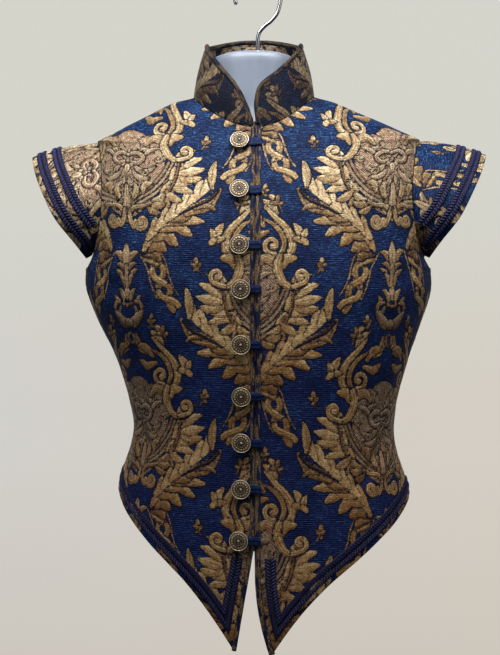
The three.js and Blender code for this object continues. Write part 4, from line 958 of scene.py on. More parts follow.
FRONT_CREASES = {
    # place on the cloth: x round from the centre front, y height. wearer's left front
    "left": [([(172, -512), (150, -548), (128, -578), (104, -592)], 8, -3.0), ([(176, -548), (150, -575), (122, -602)], 9, 1.6),
             ([(170, -486), (146, -507), (124, -516)], 9, -1.6), ([(196, -345), (166, -362), (140, -368)], 10, -2.0),
             ([(190, -372), (160, -392), (142, -396)], 12, 1.4), ([(150, -262), (141, -290), (146, -318)], 9, -1.6),
             ([(92, -188), (112, -216), (124, -246)], 14, 1.4), ([(60, -560), (74, -592), (80, -628)], 12, -1.3),
             ([(24, -600), (40, -622), (58, -634)], 10, 1.0), ([(30, -214), (52, -236), (66, -262)], 13, 1.1),
             ([(118, -440), (132, -470), (130, -498)], 12, 1.0)],
    "right": [([(176, -500), (156, -526), (146, -556), (150, -584)], 7.5, -3.4), ([(160, -520), (136, -548), (118, -560)], 9, -1.8),
              ([(182, -540), (168, -566), (170, -596)], 10, 2.0), ([(172, -470), (148, -492), (128, -498)], 9, -1.5),
              ([(198, -350), (172, -368), (142, -374)], 10, -2.2), ([(188, -384), (158, -398), (130, -396)], 12, 1.5),
              ([(152, -258), (143, -288), (150, -322)], 8.5, -1.7), ([(88, -186), (110, -212), (120, -240)], 14, 1.3),
              ([(46, -556), (60, -590), (84, -612)], 12, -1.2), ([(26, -212), (46, -230), (70, -244)], 12, 1.0),
              ([(104, -420), (120, -452), (116, -486)], 13, 1.0)],
}
BACK_CREASES = [([(-188, -500), (-160, -530), (-138, -545)], 9, -2.6), ([(186, -508), (166, -536), (134, -552)], 9, -2.8),
                ([(-120, -470), (-70, -484), (-20, -480)], 12, -2.2), ([(30, -488), (80, -492), (128, -476)], 12, -2.0),
                ([(-90, -512), (-40, -524), (22, -518)], 13, 1.8), ([(-200, -346), (-164, -362), (-132, -364)], 11, -2.0),
                ([(198, -350), (170, -370), (128, -376)], 11, -2.2), ([(-60, -560), (-72, -610), (-66, -660)], 14, -1.6),
                ([(70, -556), (84, -600), (80, -650)], 14, -1.8), ([(-30, -180), (0, -176), (32, -182)], 10, -1.4)]


def front_cloth(name, piping, axis, side, mirror):
    inset = FRONT_GAP + piping + LAY
    nu, nt = 189, 457
    t = even_rows(FRONT, nt)
    g = even_columns(FRONT, nu)
    u0 = front_edge_u(t, inset, mirror)[:, None]
    u = u0 + (U_SEAM - u0) * g[None, :]
    p, n = panel_frame(FRONT, u, np.broadcast_to(t[:, None], u.shape))
    X, Y = cloth_places(p, n, t)
    f = damask(X + axis, -198.0 - Y)
    fold = creases(X, Y, FRONT_CREASES[side]) + 0.9 * lattice(X, Y, 3 if mirror else 4, 62) + 0.35 * lattice(X, Y, 5, 21)
    # the cloth lies still at its seams and under the buttons
    fold *= smooth(0, 0.10, (u - u0) / (1 - u0)) * smooth(0, 0.05, 1 - g)[None, :] * smooth(20.0, 19.2, t)[:, None]
    outer = p + n * (fold + relief(f) * smooth(0, 0.012, 1 - g)[None, :])[..., None]
    inner = p + n * (fold - CLOTH)[..., None]
    cl = np.stack([X + (700 if mirror else 0), Y, np.zeros(X.shape)], -1)
    return shell(name, outer, inner, BROCADE, f, {"cloth": cl}, mirror=mirror)


front_cloth("cloth_front_left", PIPE_LEFT, 20.0, "left", False)
front_cloth("cloth_front_right", PIPE_RIGHT, 29.0, "right", True)


def back_cloth(name):
    t = even_rows(BACK, 293)
    g = even_columns(BACK, 127)
    g = np.concatenate([-g[:0:-1], g]) * U_SEAM
    u = np.broadcast_to(g[None, :], (len(t), len(g)))
    p, n = panel_frame(BACK, u, np.broadcast_to(t[:, None], u.shape))
    X, Y = cloth_places(p, n, t)
    f = damask(X, -160.0 - Y)
    fold = creases(X, Y, BACK_CREASES) + 1.0 * lattice(X, Y, 8, 70) + 0.35 * lattice(X, Y, 9, 22)
    fold *= smooth(0, 0.05, 1 - np.abs(g))[None, :] * smooth(20.0, 19.2, t)[:, None]
    outer = p + n * (fold + relief(f) * smooth(0, 0.012, 1 - np.abs(g))[None, :])[..., None]
    inner = p + n * (fold - CLOTH)[..., None]
    return shell(name, outer, inner, BROCADE, f, {"cloth": np.stack([X + 1500, Y, np.zeros(X.shape)], -1)})


back_cloth("cloth_back")


# ---- rolled front edges
def front_piping(name, width, mirror):
    n = 420
    t = np.linspace(0, LAST, n)
    at = FRONT_GAP + width / 2
    u = front_edge_u(t, at, mirror)
    p, nm = panel_frame(FRONT, u, t)
    # runs on for a little, up between the collar's two ends
    rise = unit(p[-1] - p[-6]) * 0.5 + np.array([0, 0.15, 0.5])
    p = np.concatenate([p, p[-1] + rise * np.arange(1, 8)[:, None]])
    nm = np.concatenate([nm, np.repeat(nm[-1:], 7, 0)])
    n += 7
    along = unit(np.gradient(p, axis=0))
    side = unit(np.cross(along, nm))
    run = run_length(p)
    sides = 12
    k = np.arange(sides)
    wob = 1 + 0.035 * lattice(run[:, None] + 40 * mirror, 7.0 * k[None, :] % 30, 21, 7)
    ob, ring = tube(name, p - nm * (CLOTH / 2), side, nm, (width / 2 + 0.45) * wob, PIPE_THICK / 2 * wob * 1.06, sides, ROLLED, mirror=mirror)
    add_vector(ob, np.stack([np.repeat(run[:, None], sides, 1) + 300 * mirror, np.broadcast_to(k[None, :] * width * pi / sides, (n, sides)),
                             np.zeros((n, sides))], -1))
    return ob


def add_vector(ob, cl, key="cloth"):
    cl = cl.reshape(-1, 3)
    extra = len(ob.data.vertices) - len(cl)
    if extra:
        cl = np.concatenate([cl, cl[-extra:]])
    a = ob.data.attributes.new(key, "FLOAT_VECTOR", "POINT")
    a.data.foreach_set("vector", cl.astype(np.float32).ravel())


front_piping("edge_front_left", PIPE_LEFT, False)
front_piping("edge_front_right", PIPE_RIGHT, True)


# ---- cap sleeves
WXYZ = np.array([w[2:] for w in WING], float)
WROW = np.array([w[1] for w in WING], float)


def wing_point(s, w):
    s, w = np.broadcast_arrays(np.asarray(s, float), np.asarray(w, float))
    index = s * (len(WING) - 1)
    i = np.minimum(np.floor(index).astype(int), len(WING) - 2)
    f = index - i
    back = np.array([w_[0] for w_ in WING])[i] == 1
    back = back | (i == 5)
    row = WROW[i] + (WROW[i + 1] - WROW[i]) * f
    one = np.ones(s.shape)
    seam = np.where(back[..., None], panel_point(BACK, one, row), panel_point(FRONT, one, row))
    a, b = WXYZ[i], WXYZ[i + 1]
    p0 = np.where((i == 0)[..., None], 2 * a - b, WXYZ[np.maximum(i - 1, 0)])
    p3 = np.where((i + 2 > len(WING) - 1)[..., None], 2 * b - a, WXYZ[np.minimum(i + 2, len(WING) - 1)])
    edge = catmull(p0, a, b, p3, f[..., None])
    along = edge - seam
    width = np.linalg.norm(along, axis=-1)
    along = unit(along)
    start = seam + along * (SEAM + 0.2)
    p = start + (edge - start) * w[..., None]
    away = p - np.array([215.0, 3.0, -290.0])
    away = unit(away - along * np.sum(away * along, -1, keepdims=True))
    return p + away * (0.045 * width * np.sin(pi * w))[..., None], width


def wing_frame(s, w):
    p, width = wing_point(s, w)
    ds = wing_point(np.minimum(s + .003, 1), w)[0] - wing_point(np.maximum(s - .003, 0), w)[0]
    dw = wing_point(s, np.minimum(w + .003, 1))[0] - wing_point(s, np.maximum(w - .003, 0))[0]
    n = unit(np.cross(ds, dw))
    flip = np.sum(n * (p - np.array([215.0, 3.0, -290.0])), -1) < 0
    n[flip] *= -1
    return p, n, width


WING_CREASES = {False: [([(95, 6), (110, 30), (108, 60)], 9, -1.5), ([(190, 8), (205, 34), (198, 66)], 10, 1.2), ([(250, 6), (240, 40)], 9, -1.4)],
                True: [([(100, 4), (92, 34), (100, 62)], 9, -1.4), ([(150, 10), (146, 40)], 10, 1.1), ([(236, 6), (246, 40)], 9, -1.3)]}


def wing_cloth(name, mirror, ax, ay):
    ns, nw = 241, 57
    s0 = np.linspace(0, 1, 600)
    r0 = run_length(wing_point(s0, np.full(600, 0.7))[0])
    s = np.interp(np.linspace(0, r0[-1], ns), r0, s0)
    w = np.linspace(0, 1, nw)
    S, W = np.meshgrid(s, w, indexing="ij")
    p, n, width = wing_frame(S, W)
    X = np.repeat(np.linspace(0, r0[-1], ns)[:, None], nw, 1)
    Y = W * width
    f = damask(X + ax, Y + ay)
    edge = smooth(0, 0.06, W) * smooth(0, 0.06, 1 - W) * smooth(0, 0.03, S) * smooth(0, 0.03, 1 - S)
    fold = (creases(X, Y, WING_CREASES[mirror]) + 0.6 * lattice(X, Y, 12 + mirror, 40)) * edge
    outer = p + n * (fold + relief(f) * smooth(0, 0.04, W) * smooth(0, 0.04, 1 - W))[..., None]
    inner = p + n * (fold - WING_WALL)[..., None]
    return shell(name, outer, inner, BROCADE, f, {"cloth": np.stack([X + 2300 + 500 * mirror, Y, np.zeros(X.shape)], -1)}, mirror=mirror)


wing_cloth("cloth_cap_left", False, -58.0, 268.0)
wing_cloth("cloth_cap_right", True, -104.0, 158.0)


# ---- plaited braid: two columns of slanted strands
def braid(name, p, n, lift, mirror=False):
    """p, n on a grid: along the braid, then across"""
    na, nw = p.shape[:2]
    mid = p[:, nw // 2]
    tan = unit(np.gradient(mid, axis=0))
    run = run_length(mid)[:, None] + ((p - mid[:, None]) * tan[:, None]).sum(-1)      # square to the braid, also near the mitre
    w = np.linspace(-1, 1, nw)[None, :]
    wide = np.linalg.norm(p[:, -1] - p[:, 0], axis=-1).mean()
    slip = np.abs(w) * wide * 0.20
    ph = (run + slip + np.where(w > 0, 1.7, 0.0)) / 3.5
    strand = np.abs(np.sin(pi * ph)) ** 0.95
    col = np.clip(1 - ((np.abs(w) - 0.5) / 0.5) ** 2, 0, 1) ** 0.35
    high = (0.12 + 0.88 * strand) * col
    prof = np.maximum(high, 0.05) * BRAID_THICK
    outer = p + n * (lift + prof)[..., None]
    inner = p + n * (lift * 0.6)
    X, Y = run, np.repeat(w * wide / 2, na, 0)
    return shell(name, outer, inner, BRAID_CLOTH, {"high": high, "tone": np.repeat(np.abs(w), na, 0), "phase": X - slip},
                 {"cloth": np.stack([X, Y, np.zeros(X.shape)], -1)}, mirror=mirror, bulge=0.1)


def chart(table):
    uu = np.linspace(0, 1, 401)
    ps = run_length(panel_point(table, uu, np.ones(401))[:, :2])

    def place(pq, z, sign=1.0):
        u = np.interp(np.maximum(pq, 0), ps, uu)
        lo, hi = np.zeros(u.shape), np.full(u.shape, 8.0)
        for _ in range(30):
            mid = (lo + hi) / 2
            less = panel_point(table, u, mid)[..., 2] < z
            lo, hi = np.where(less, mid, lo), np.where(less, hi, mid)
        return panel_frame(table, u * sign, (lo + hi) / 2)
    return (lambda u: np.interp(u, uu, ps)), place


def moved(ln, d):
    t = unit(np.gradient(ln, axis=0))
    return ln + np.stack([-t[:, 1], t[:, 0]], -1) * d


def crossing(a, b):
    for i in range(len(a) - 1):
        r = a[i + 1] - a[i]
        s = b[1:] - b[:-1]
        den = r[0] * s[:, 1] - r[1] * s[:, 0]
        q = b[:-1] - a[i]
        with np.errstate(divide="ignore", invalid="ignore"):
            e = (q[:, 0] * s[:, 1] - q[:, 1] * s[:, 0]) / den
            f = (q[:, 0] * r[1] - q[:, 1] * r[0]) / den
        k = np.flatnonzero((e >= 0) & (e <= 1) & (f >= 0) & (f <= 1))
        if len(k):
            return i, int(k[0]), a[i] + r * e[k[0]]
    raise ValueError("the braid's legs don't cross")


def resample(ln, n):
    r = run_length(ln)
    s = np.linspace(0, r[-1], n)
    return np.stack([np.interp(s, r, ln[:, k]) for k in (0, 1)], -1)


def front_hem_braid(name, piping, mirror):
    p_of, place = chart(FRONT)
    inset = FRONT_GAP + piping + LAY
    t = 4 * (1 - np.linspace(0, 1, 241))
    u = front_edge_u(t, inset, mirror)
    q = panel_point(FRONT, u, t)
    keep = q[:, 2] < SLIT_BRAID_TOP + 12
    slit = np.stack([p_of(u), q[:, 2]], -1)[keep]
    ut = front_edge_u(np.zeros(1), inset, mirror)[0]
    uh = ut + (U_SEAM - ut) * np.linspace(0, 1, 321)
    hem = np.stack([p_of(uh), panel_point(FRONT, uh, np.zeros(321))[:, 2]], -1)
    legs = []
    for d in (HEM_EDGE, HEM_EDGE + HEM_WIDE):
        a, b = moved(slit, d), moved(hem, d)
        i, k, x = crossing(a, b)
        down = np.concatenate([a[:i + 1], x[None]])
        down = down[down[:, 1] < SLIT_BRAID_TOP]
        legs.append(np.concatenate([resample(down, 161), resample(np.concatenate([x[None], b[k + 1:]]), 481)[1:]]))
    w = np.linspace(0, 1, 17)[None, :, None]
    pq = legs[0][:, None] + (legs[1] - legs[0])[:, None] * w
    p, n = place(pq[..., 0], pq[..., 1])
    return braid(name, p, n, LAY, mirror)


front_hem_braid("braid_hem_front_left", PIPE_LEFT, False)
front_hem_braid("braid_hem_front_right", PIPE_RIGHT, True)


def back_hem_braid(name):
    p_of, place = chart(BACK)
    u = U_SEAM * np.linspace(0, 1, 321)
    half = np.stack([p_of(u), panel_point(BACK, u, np.zeros(321))[:, 2]], -1)
    lines = []
    for d in (HEM_EDGE, HEM_EDGE + HEM_WIDE):
        m = moved(half, d)
        m = m[m[:, 0] > 0.0]
        m = np.concatenate([[[0.0, m[0, 1]]], m])
        r = resample(m, 481)
        lines.append(np.concatenate([r[:0:-1] * [-1, 1], r]))
    w = np.linspace(0, 1, 17)[None, :, None]
    pq = lines[0][:, None] + (lines[1] - lines[0])[:, None] * w
    p, n = place(np.abs(pq[..., 0]), pq[..., 1], np.where(pq[..., 0] < 0, -1.0, 1.0))
    return braid(name, p, n, LAY)


back_hem_braid("braid_hem_back")


def wing_braid(name, from_edge, mirror):
    ss = np.linspace(0, 1, 501)
    ok = wing_point(ss, np.full(501, 0.5))[1] > from_edge + WING_WIDE + 2.5
    lo, hi = ss[ok][0], ss[ok][-1]
    s = np.linspace(lo, hi, 481)
    width = wing_point(s, np.full(481, 0.5))[1]
    j = np.linspace(0, 1, 17)
    W = 1 - (from_edge + WING_WIDE * (1 - j[None, :])) / width[:, None]
    p, n, _ = wing_frame(np.repeat(s[:, None], 17, 1), W)
    return braid(name, p, n, LAY_WING, mirror)


for which, start in (("outer", WING_OUTER), ("inner", WING_INNER)):
    for sd, mir in (("left", False), ("right", True)):
        wing_braid("braid_cap_%s_%s" % (which, sd), start, mir)


# ---- stand collar
def hermite(table, deg):
    d = table[:, 0]
    i = np.clip(np.searchsorted(d, deg, side="left") - 1, 0, len(d) - 2)
    f = ((deg - d[i]) / (d[i + 1] - d[i]))[..., None]
    v = table[:, 1:]
    last = len(d) - 1

    def slope(k):
        hi, lo = np.minimum(k + 1, last), np.maximum(k - 1, 0)
        return (v[hi] - v[lo]) / (d[hi] - d[lo])[..., None]
    h = (d[i + 1] - d[i])[..., None]
    m0, m1 = slope(i) * h, slope(i + 1) * h
    return (2 * f ** 3 - 3 * f ** 2 + 1) * v[i] + (f ** 3 - 2 * f ** 2 + f) * m0 + (-2 * f ** 3 + 3 * f ** 2) * v[i + 1] + (f ** 3 - f ** 2) * m1


def collar_point(v, h):
    v, h = np.broadcast_arrays(np.asarray(v, float), np.asarray(h, float))
    deg = 180 - np.abs(v) * 180
    hl = hermite(COLLAR, deg)
    high, lean = np.where(v > 0, hl[..., 1], hl[..., 0]), hl[..., 2]
    front = deg < 90
    u = np.where(front, deg / 90, (180 - deg) / 90)
    row = np.full(u.shape, float(LAST))
    base = np.where(front[..., None], panel_point(FRONT, u, row), panel_point(BACK, u, row))
    base[..., 0] *= np.where(v < 0, -1, 1)
    inward = unit(np.stack([-base[..., 0], -base[..., 1] * 0.9, np.zeros(v.shape)], -1))
    up = SEAM + (high - SEAM) * h
    p = base + inward * (lean * up - 0.03 * high * np.sin(pi * h))[..., None]
    p[..., 2] += up
    return p, high


def collar_frame(v, h):
    v, h = np.broadcast_arrays(np.asarray(v, float), np.asarray(h, float))
    p, high = collar_point(v, h)
    dv = collar_point(np.minimum(v + .002, 1), h)[0] - collar_point(np.maximum(v - .002, -1), h)[0]
    dh = collar_point(v, np.minimum(h + .02, 1))[0] - collar_point(v, np.maximum(h - .02, 0))[0]
    n = unit(np.cross(dv, dh))
    flip = n[..., 0] * p[..., 0] + n[..., 1] * p[..., 1] < 0
    n[flip] *= -1
    return p, n, high


def collar_cloth(name):
    nv, nh = 341, 45
    s = np.linspace(-1, 1, nv)
    v = np.sign(s) * (1 - (1 - np.abs(s)) ** 1.25) * COLLAR_END
    h = np.linspace(0, 1, nh)
    V_, H_ = np.meshgrid(v, h, indexing="ij")
    p, n, high = collar_frame(V_, H_)
    mid = run_length(p[:, nh // 2])
    X = np.repeat((mid - mid[-1] / 2)[:, None], nh, 1)          # from the centre back
    Y = H_ * high
    end = mid[-1] / 2
    xf = end - np.abs(X)                                        # from the centre front
    f = damask(xf + np.where(X > 0, 12, 22), 112.0 - Y)
    fin = damask(np.abs(X) * 1.0 + 4, 214.0 - Y)
    edge = smooth(0, 0.05, H_) * smooth(0, 0.05, 1 - H_)
    fold = 0.35 * lattice(X, Y, 31, 26) * edge
    outer = p + n * (fold + 0.8 * relief(f) * edge)[..., None]
    inner = p + n * (fold - COLLAR_WALL)[..., None]
    ob = shell(name, outer, inner, SHADED_COLLAR_BROCADE, f, {"cloth": np.stack([X + 4000, Y, np.zeros(X.shape)], -1)}, k=2)
    # the inside face carries the same cloth, its own part of the figure
    me = ob.data
    n_out = nv * nh
    ia, ib = np.arange(0, nv, 2), np.arange(0, nh, 2)
    for key in list(f):
        a = me.attributes[key]
        buf = np.zeros(len(me.vertices), np.float32)
        a.data.foreach_get("value", buf)
        buf[-len(ia) * len(ib):] = fin[key][np.ix_(ia, ib)].ravel()
        a.data.foreach_set("value", buf)
    me.attributes["inside"].data.foreach_set("value", np.zeros(len(me.vertices), np.float32))
    return ob


collar_cloth("cloth_collar")


def collar_edge(name):
    vs = [(-COLLAR_END, h, True) for h in (0.12, 0.3, 0.5)]
    s = np.linspace(-1, 1, 241)
    vs += [(float(np.sign(x) * (1 - (1 - abs(x)) ** 1.7) * COLLAR_END), 1.0, False) for x in s]
    vs += [(COLLAR_END, h, True) for h in (0.5, 0.3, 0.12)]
    C, S, U = [], [], []
    for v, h, front in vs:
        p, n, _ = collar_frame(np.array([v]), np.array([h]))
        p, n = p[0], n[0]
        a, b = (collar_point(np.array([max(v - .002, -1)]), np.array([1.0]))[0][0], collar_point(np.array([min(v + .002, 1)]), np.array([1.0]))[0][0])
        along = np.array([0, 0, -np.sign(v)]) if front else unit(b - a)
        away = unit(np.cross(along, n))
        ins = collar_point(np.array([v - np.sign(v) * 0.01]), np.array([h]))[0][0] if front else collar_point(np.array([v]), np.array([0.9]))[0][0]
        if np.dot(away, p - ins) < 0:
            away = -away
        C.append(p - n * (COLLAR_WALL / 2) + away * (BINDING - 0.9))
        S.append(away)
        U.append(n)
    C, S, U = np.array(C), np.array(S), np.array(U)
    r = run_length(C)
    t = np.linspace(0, r[-1], 401)
    take = lambda A: np.stack([np.interp(t, r, A[:, k]) for k in range(3)], -1)
    c, sd, up = take(C), unit(take(S)), take(U)
    for _ in range(3):
        c[1:-1] = (c[:-2] + 2 * c[1:-1] + c[2:]) / 4
        sd[1:-1] = unit(sd[:-2] + 2 * sd[1:-1] + sd[2:])
    tan = unit(np.gradient(c, axis=0))
    up = unit(up - tan * np.sum(up * tan, -1, keepdims=True))
    sd2 = unit(np.cross(tan, up))
    sd = np.where((np.sum(sd2 * sd, -1) < 0)[:, None], -sd2, sd2)
    sides = 12
    k = np.arange(sides)
    wob = 1 + 0.04 * lattice(t[:, None], 7.0 * k[None, :] % 30, 23, 6)
    ob, _ = tube(name, c, sd, up, 2.9 * wob, 2.7 * wob, sides, BINDING_CLOTH)
    add_vector(ob, np.stack([np.repeat(t[:, None], sides, 1) + 900, np.broadcast_to(k[None, :] * 1.3, (len(t), sides)), np.zeros((len(t), sides))], -1))
    return ob


collar_edge("edge_collar")


# =====================================================================
# 6. buttons, loops, the form and its hook
# =====================================================================
def button(name, x, z, turn):
    p0, n0 = front_at(np.array([x]), np.array([z]))
    p0, n0 = p0[0], n0[0]
    ez = n0
    ex = unit(np.cross(np.array([0, 0, 1.0]), ez))
    ey = np.cross(ez, ex)
    R, under, thick = 10.5, 3.4, 4.4
    na = 96
    rho = np.array([0, .05, .10, .14, .17, .20, .235, .27, .31, .35, .39, .43, .47, .51, .55, .60, .66, .72, .78, .82, .855, .885, .91, .935, .96, .98, 1.0])
    a = np.arange(na) * 2 * pi / na + turn
    r, A = np.meshgrid(rho, a, indexing="ij")
    bump = lambda c, w: np.exp(-((r - c) / w) ** 2)
    dome = under + thick * (0.42 + 0.26 * (1 - r ** 2))
    orn = 0.95 * bump(0.955, 0.035) + 0.35 * bump(0.885, 0.02)
    petal = np.abs(np.cos(8 * A)) ** 0.8
    orn += 0.75 * petal * smooth(0.53, 0.60, r) * smooth(0.88, 0.80, r) * (0.6 + 0.4 * np.cos((r - 0.69) * 16))
    orn += 0.45 * (np.abs(np.sin(8 * A)) ** 6) * smooth(0.70, 0.78, r) * smooth(0.88, 0.82, r)
    orn += 0.65 * bump(0.45, 0.045) * (0.45 + 0.55 * np.abs(np.sin(9 * A)) ** 0.7)
    orn += 0.55 * bump(0.29, 0.03) + 0.75 * smooth(0.17, 0.08, r) * (0.8 + 0.2 * np.cos(5 * A))
    orn -= 0.25 * bump(0.21, 0.03)
    h = dome + orn * smooth(1.0, 0.985, r) * 0.95
    rings = [(R * r, h, np.clip(0.12 + 0.85 * orn, 0, 1))]
    one = np.ones((1, na))
    for rr, hh, tone in ((0.985, under + thick * 0.30, 0.35), (0.95, under + thick * 0.12, 0.25), (0.86, under, 0.15), (0.27, under, 0.1), (0.25, under - 0.5, 0.1), (0.25, LAY + 0.35, 0.1), (0.0, LAY + 0.35, 0.1)):
        rings.append((R * rr * one, hh * one, tone * one))
    rr = np.concatenate([q[0] for q in rings])
    hh = np.concatenate([q[1] for q in rings])
    tone = np.concatenate([q[2] for q in rings])
    AA = np.broadcast_to(a, rr.shape)
    P = p0 + ex * (rr * np.cos(AA))[..., None] + ey * (rr * np.sin(AA))[..., None] + ez * hh[..., None]
    n = len(rr)
    core = P[1:-1].reshape(-1, 3)
    verts = np.concatenate([core, P[0, :1], P[-1, :1]])
    m = n - 2
    i, j = np.meshgrid(np.arange(m - 1), np.arange(na), indexing="ij")
    j2 = (j + 1) % na
    q = np.stack([i * na + j, (i + 1) * na + j, (i + 1) * na + j2, i * na + j2], -1).reshape(-1, 4)
    k = np.arange(na)
    t0 = np.stack([np.full(na, m * na), k, (k + 1) % na], -1)
    t1 = np.stack([np.full(na, m * na + 1), (m - 1) * na + (k + 1) % na, (m - 1) * na + k], -1)
    high = np.concatenate([tone[1:-1].ravel(), tone[0, :1], tone[-1, :1]])
    ob = make_mesh(name, verts, [q, t0, t1], BRASS, {"high": high})
    add_vector(ob, verts - p0 + np.array([37.0 * (turn + 1), 0, 0]))
    return ob


def loop_tab(name, z, seed):
    a, b = np.linspace(0, 1, 45), np.linspace(0, 1, 21)
    A, B = np.meshgrid(a, b, indexing="ij")
    high = 8.8 * (1 - 0.10 * smooth(0.25, 0.0, A) + 0.05 * lattice(A * 30, A * 0, seed, 9))
    x = 7.2 + (-10.8 - 7.2) * A
    x = np.where(np.abs(x) < 0.01, 0.01, x)
    zz = z + high * (B - 0.5) + 0.5 * lattice(A * 20, A * 0 + 3, seed + 5, 8)
    p, n = front_at(x, zz)
    crown = 0.45 * np.sin(pi * B) ** 0.7 + 0.22 * np.sin(B * 3 * pi + 1.3) * np.sin(pi * B) + 0.25 * lattice(x, zz, seed, 5)
    outer = p + n * (2.45 + crown)[..., None]
    inner = p + n * 1.3
    return shell(name, outer, inner, TAB, None, {"cloth": np.stack([x + 60 * seed, zz, 0 * x], -1)}, bulge=0.35)


for i, (bx, bz) in enumerate(BUTTONS):
    button("button_brass_%d" % (i + 1), bx, bz, 0.37 * i)
    loop_tab("tab_%d" % (i + 1), bz, 41 + i)


def torso(name):
    rows = len(FORM) - 1
    q = np.linspace(0, rows, rows * 4 + 1)
    i = np.minimum(np.floor(q).astype(int), rows - 1)
    f = (q - i)[:, None]
    p0 = np.where((i == 0)[:, None], 2 * FORM[i] - FORM[i + 1], FORM[np.maximum(i - 1, 0)])
    p3 = np.where((i + 2 > rows)[:, None], 2 * FORM[i + 1] - FORM[i], FORM[np.minimum(i + 2, rows)])
    soft = catmull(p0, FORM[i], FORM[i + 1], p3, f)
    hard = FORM[i] + (FORM[i + 1] - FORM[i]) * f
    R = np.where((q < 2)[:, None] | (q > rows - 3)[:, None], hard, soft)
    # a soft lip round the neck cap
    z, half, front, back = R.T
    sides = 96
    a = np.arange(sides) * 2 * pi / sides
    s, c = np.sin(a)[None, :], np.cos(a)[None, :]
    m = (np.abs(s) ** SQUARE + np.abs(c) ** SQUARE) ** (-1 / SQUARE)
    x = half[:, None] * m * s
    y = np.where(c > 0, front[:, None], back[:, None]) * m * np.abs(c)
    P = np.stack([x, y, np.repeat(z[:, None], sides, 1)], -1)
    n = len(z)
    verts = np.concatenate([P.reshape(-1, 3), [[0, 0, -659.0]], [[0, 0, -91.0]]])
    i, j = np.meshgrid(np.arange(n - 1), np.arange(sides), indexing="ij")
    j2 = (j + 1) % sides
    qd = np.stack([i * sides + j, i * sides + j2, (i + 1) * sides + j2, (i + 1) * sides + j], -1).reshape(-1, 4)
    k = np.arange(sides)
    t0 = np.stack([np.full(sides, n * sides), (k + 1) % sides, k], -1)
    t1 = np.stack([np.full(sides, n * sides + 1), (n - 1) * sides + k, (n - 1) * sides + (k + 1) % sides], -1)
    return make_mesh(name, verts, [qd, t0, t1], PLASTIC)


torso("form_shell")


def hook(name):
    pts = [(0, 0, -90.65), (0, 0, -82), (-0.3, 0, -74), (2.2, 0, -65), (8.5, 0, -58), (16, 0, -52), (23, 0, -42.5)]
    for k in range(19):
        a = math.radians(-8 + k * 11.5)
        pts.append((math.cos(a) * 27.0, 0, -24.6 + math.sin(a) * 27.0))
    c, _ = curve_through(np.array(pts, float)[:, [0, 2]], 1.2)
    c = np.stack([c[:, 0], np.zeros(len(c)), c[:, 1]], -1)
    tan = unit(np.gradient(c, axis=0))
    side = np.repeat(np.array([[0, 1.0, 0]]), len(c), 0)
    up = unit(np.cross(tan, side))
    r = run_length(c)
    sc = np.ones(len(c))
    endr = r[-1] - r
    sc = np.where(endr < 2.4, np.sqrt(np.clip(1 - ((2.4 - endr) / 2.4) ** 2, 0.02, 1)), 1.0)
    ob, _ = tube(name, c, side, up, 2.4, 2.4, 20, CHROME, scale=sc, hangs=False)
    return ob


hook("hook_wire")

# =====================================================================
# 7. what each piece stands for
# =====================================================================
NODES = {"cloth_front_left": ("front_left", "brocade"), "cloth_front_right": ("front_right", "brocade"), "cloth_back": ("back", "brocade"),
         "edge_front_left": ("front_piping_left", "rolled_edge"), "edge_front_right": ("front_piping_right", "rolled_edge"),
         "cloth_cap_left": ("sleeve_cap_left", "brocade"), "cloth_cap_right": ("sleeve_cap_right", "brocade"),
         "braid_hem_front_left": ("hem_braid_front_left", "braid"), "braid_hem_front_right": ("hem_braid_front_right", "braid"),
         "braid_hem_back": ("hem_braid_back", "braid"), "cloth_collar": ("collar", "collar_brocade"), "edge_collar": ("collar_binding", "rolled_edge"),
         "form_shell": ("torso_form", "form_plastic"), "hook_wire": ("hook", "hook_chrome")}
for which in ("outer", "inner"):
    for sd in ("left", "right"):
        NODES["braid_cap_%s_%s" % (which, sd)] = ("sleeve_braid_%s_%s" % (which, sd), "braid")
for i in range(1, 10):
    NODES["button_brass_%d" % i] = ("button_%d" % i, "button_brass")
    NODES["tab_%d" % i] = ("loop_%d" % i, "loop_cloth")
for piece, (node, slot) in NODES.items():
    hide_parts(node)


def cloth_area(ob):
    """a closed wall's two faces, halved"""
    ar = np.zeros(len(ob.data.polygons), np.float32)
    ob.data.polygons.foreach_get("area", ar)
    return float(ar.sum()) / 2


AREAS = {k: round(cloth_area(o), 5) for k, o in PIECES.items() if k.startswith("cloth_")}

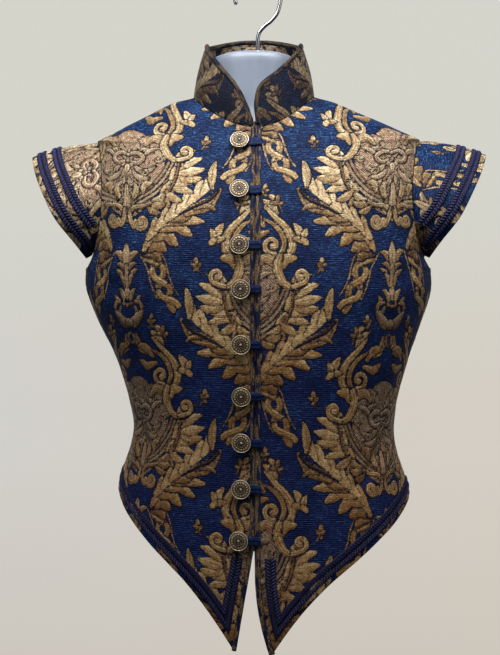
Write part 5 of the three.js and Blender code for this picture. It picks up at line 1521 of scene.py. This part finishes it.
# =====================================================================
# 8. wall, light and camera
# =====================================================================
def wall_glow():
    g = Graph("plain_wall")
    co = g.tree.nodes.new("ShaderNodeTexCoord").outputs["Object"]
    x, y, z = g.split(co)
    n = g.noise(co, 1.3, 3, 0.5)
    fine = g.noise(co, 160.0, 2, 0.6)
    # painted light: the wall is lighter at the top, darker at the bottom (lower_shade), and shifts from cool on the
    # left to warm on the right
    side = g.mix(g.fit(x, -0.6, 0.6), rgb(209, 207, 202), rgb(213, 206, 194))
    lower_shade = g.mix(g.fit(z, -0.9, -0.25), rgb(200, 192, 181), side)
    top = g.mix(g.fit(z, -0.15, 0.25), lower_shade, rgb(213, 213, 204))
    c = g.mix(g.fit(n, 0.3, 0.7, 0.0, 0.10), top, rgb(220, 218, 212))
    c = g.mix(g.fit(fine, 0.3, 0.7, 0.0, 0.06), c, rgb(180, 178, 170))
    # the wall glows by its own emission instead of being lit by the lamps
    e = g.tree.nodes.new("ShaderNodeEmission")
    g.put(c, e.inputs[0])
    e.inputs[1].default_value = 1.0
    behind = g.tree.nodes.new("ShaderNodeNewGeometry").outputs["Backfacing"]
    clear, both = g.tree.nodes.new("ShaderNodeBsdfTransparent"), g.tree.nodes.new("ShaderNodeMixShader")
    for link in ((behind, both.inputs[0]), (e.outputs[0], both.inputs[1]), (clear.outputs[0], both.inputs[2]), (both.outputs[0], g.out.inputs[0])):
        g.tree.links.new(*link)
    return g.mat


bpy.ops.mesh.primitive_plane_add(size=1, location=(0, 0.9, -0.4), rotation=(pi / 2, 0, 0))
wall = bpy.context.object
wall.name = "wall_backdrop"
wall.scale = (1.6, 1.7, 1)
bpy.ops.object.transform_apply(location=False, rotation=True, scale=True)
wall.data.materials.append(wall_glow())

scene = bpy.context.scene
world = bpy.data.worlds.new("room")
scene.world = world
world.use_nodes = True
wt = world.node_tree
bg = wt.nodes["Background"]
bg.inputs[0].default_value = (0.80, 0.86, 0.96, 1)
bg.inputs[1].default_value = 0.10


def area_light(name, where, target, size, power, color):
    d = bpy.data.lights.new(name, "AREA")
    d.shape, d.size, d.size_y = "RECTANGLE", size[0], size[1]
    d.energy, d.color = power, color
    o = bpy.data.objects.new(name, d)
    scene.collection.objects.link(o)
    o.location = where
    o.rotation_mode = "QUATERNION"
    o.rotation_quaternion = (Vector(target) - Vector(where)).to_track_quat("-Z", "Y")
    return o


area_light("ceiling_strip", (0.0, -0.44, 0.46), (0, -0.12, -0.22), (1.3, 0.42), 20, (1.0, 0.98, 0.95))
area_light("shop_left", (-1.5, -1.2, 0.35), (0, 0, -0.30), (0.9, 1.2), 4.2, (0.88, 0.94, 1.0))
area_light("shop_right", (1.6, -0.9, 0.30), (0, 0, -0.30), (0.8, 1.2), 4.2, (1.0, 0.96, 0.90))

cd = bpy.data.cameras.new("camera")
cam = bpy.data.objects.new("camera", cd)
scene.collection.objects.link(cam)
cd.sensor_width = 36.0
cd.lens = 69.86
cd.clip_start, cd.clip_end = 0.05, 50
ang = math.radians(2.0)
look = Vector((-math.sin(ang), math.cos(ang), 0.0))
cam.location = Vector((-0.0094, 0.0, -0.414)) - look * 1.5
cam.rotation_mode = "QUATERNION"
cam.rotation_quaternion = look.to_track_quat("-Z", "Y")
scene.camera = cam
scene.view_settings.view_transform = "Standard"
scene.view_settings.look = "None"
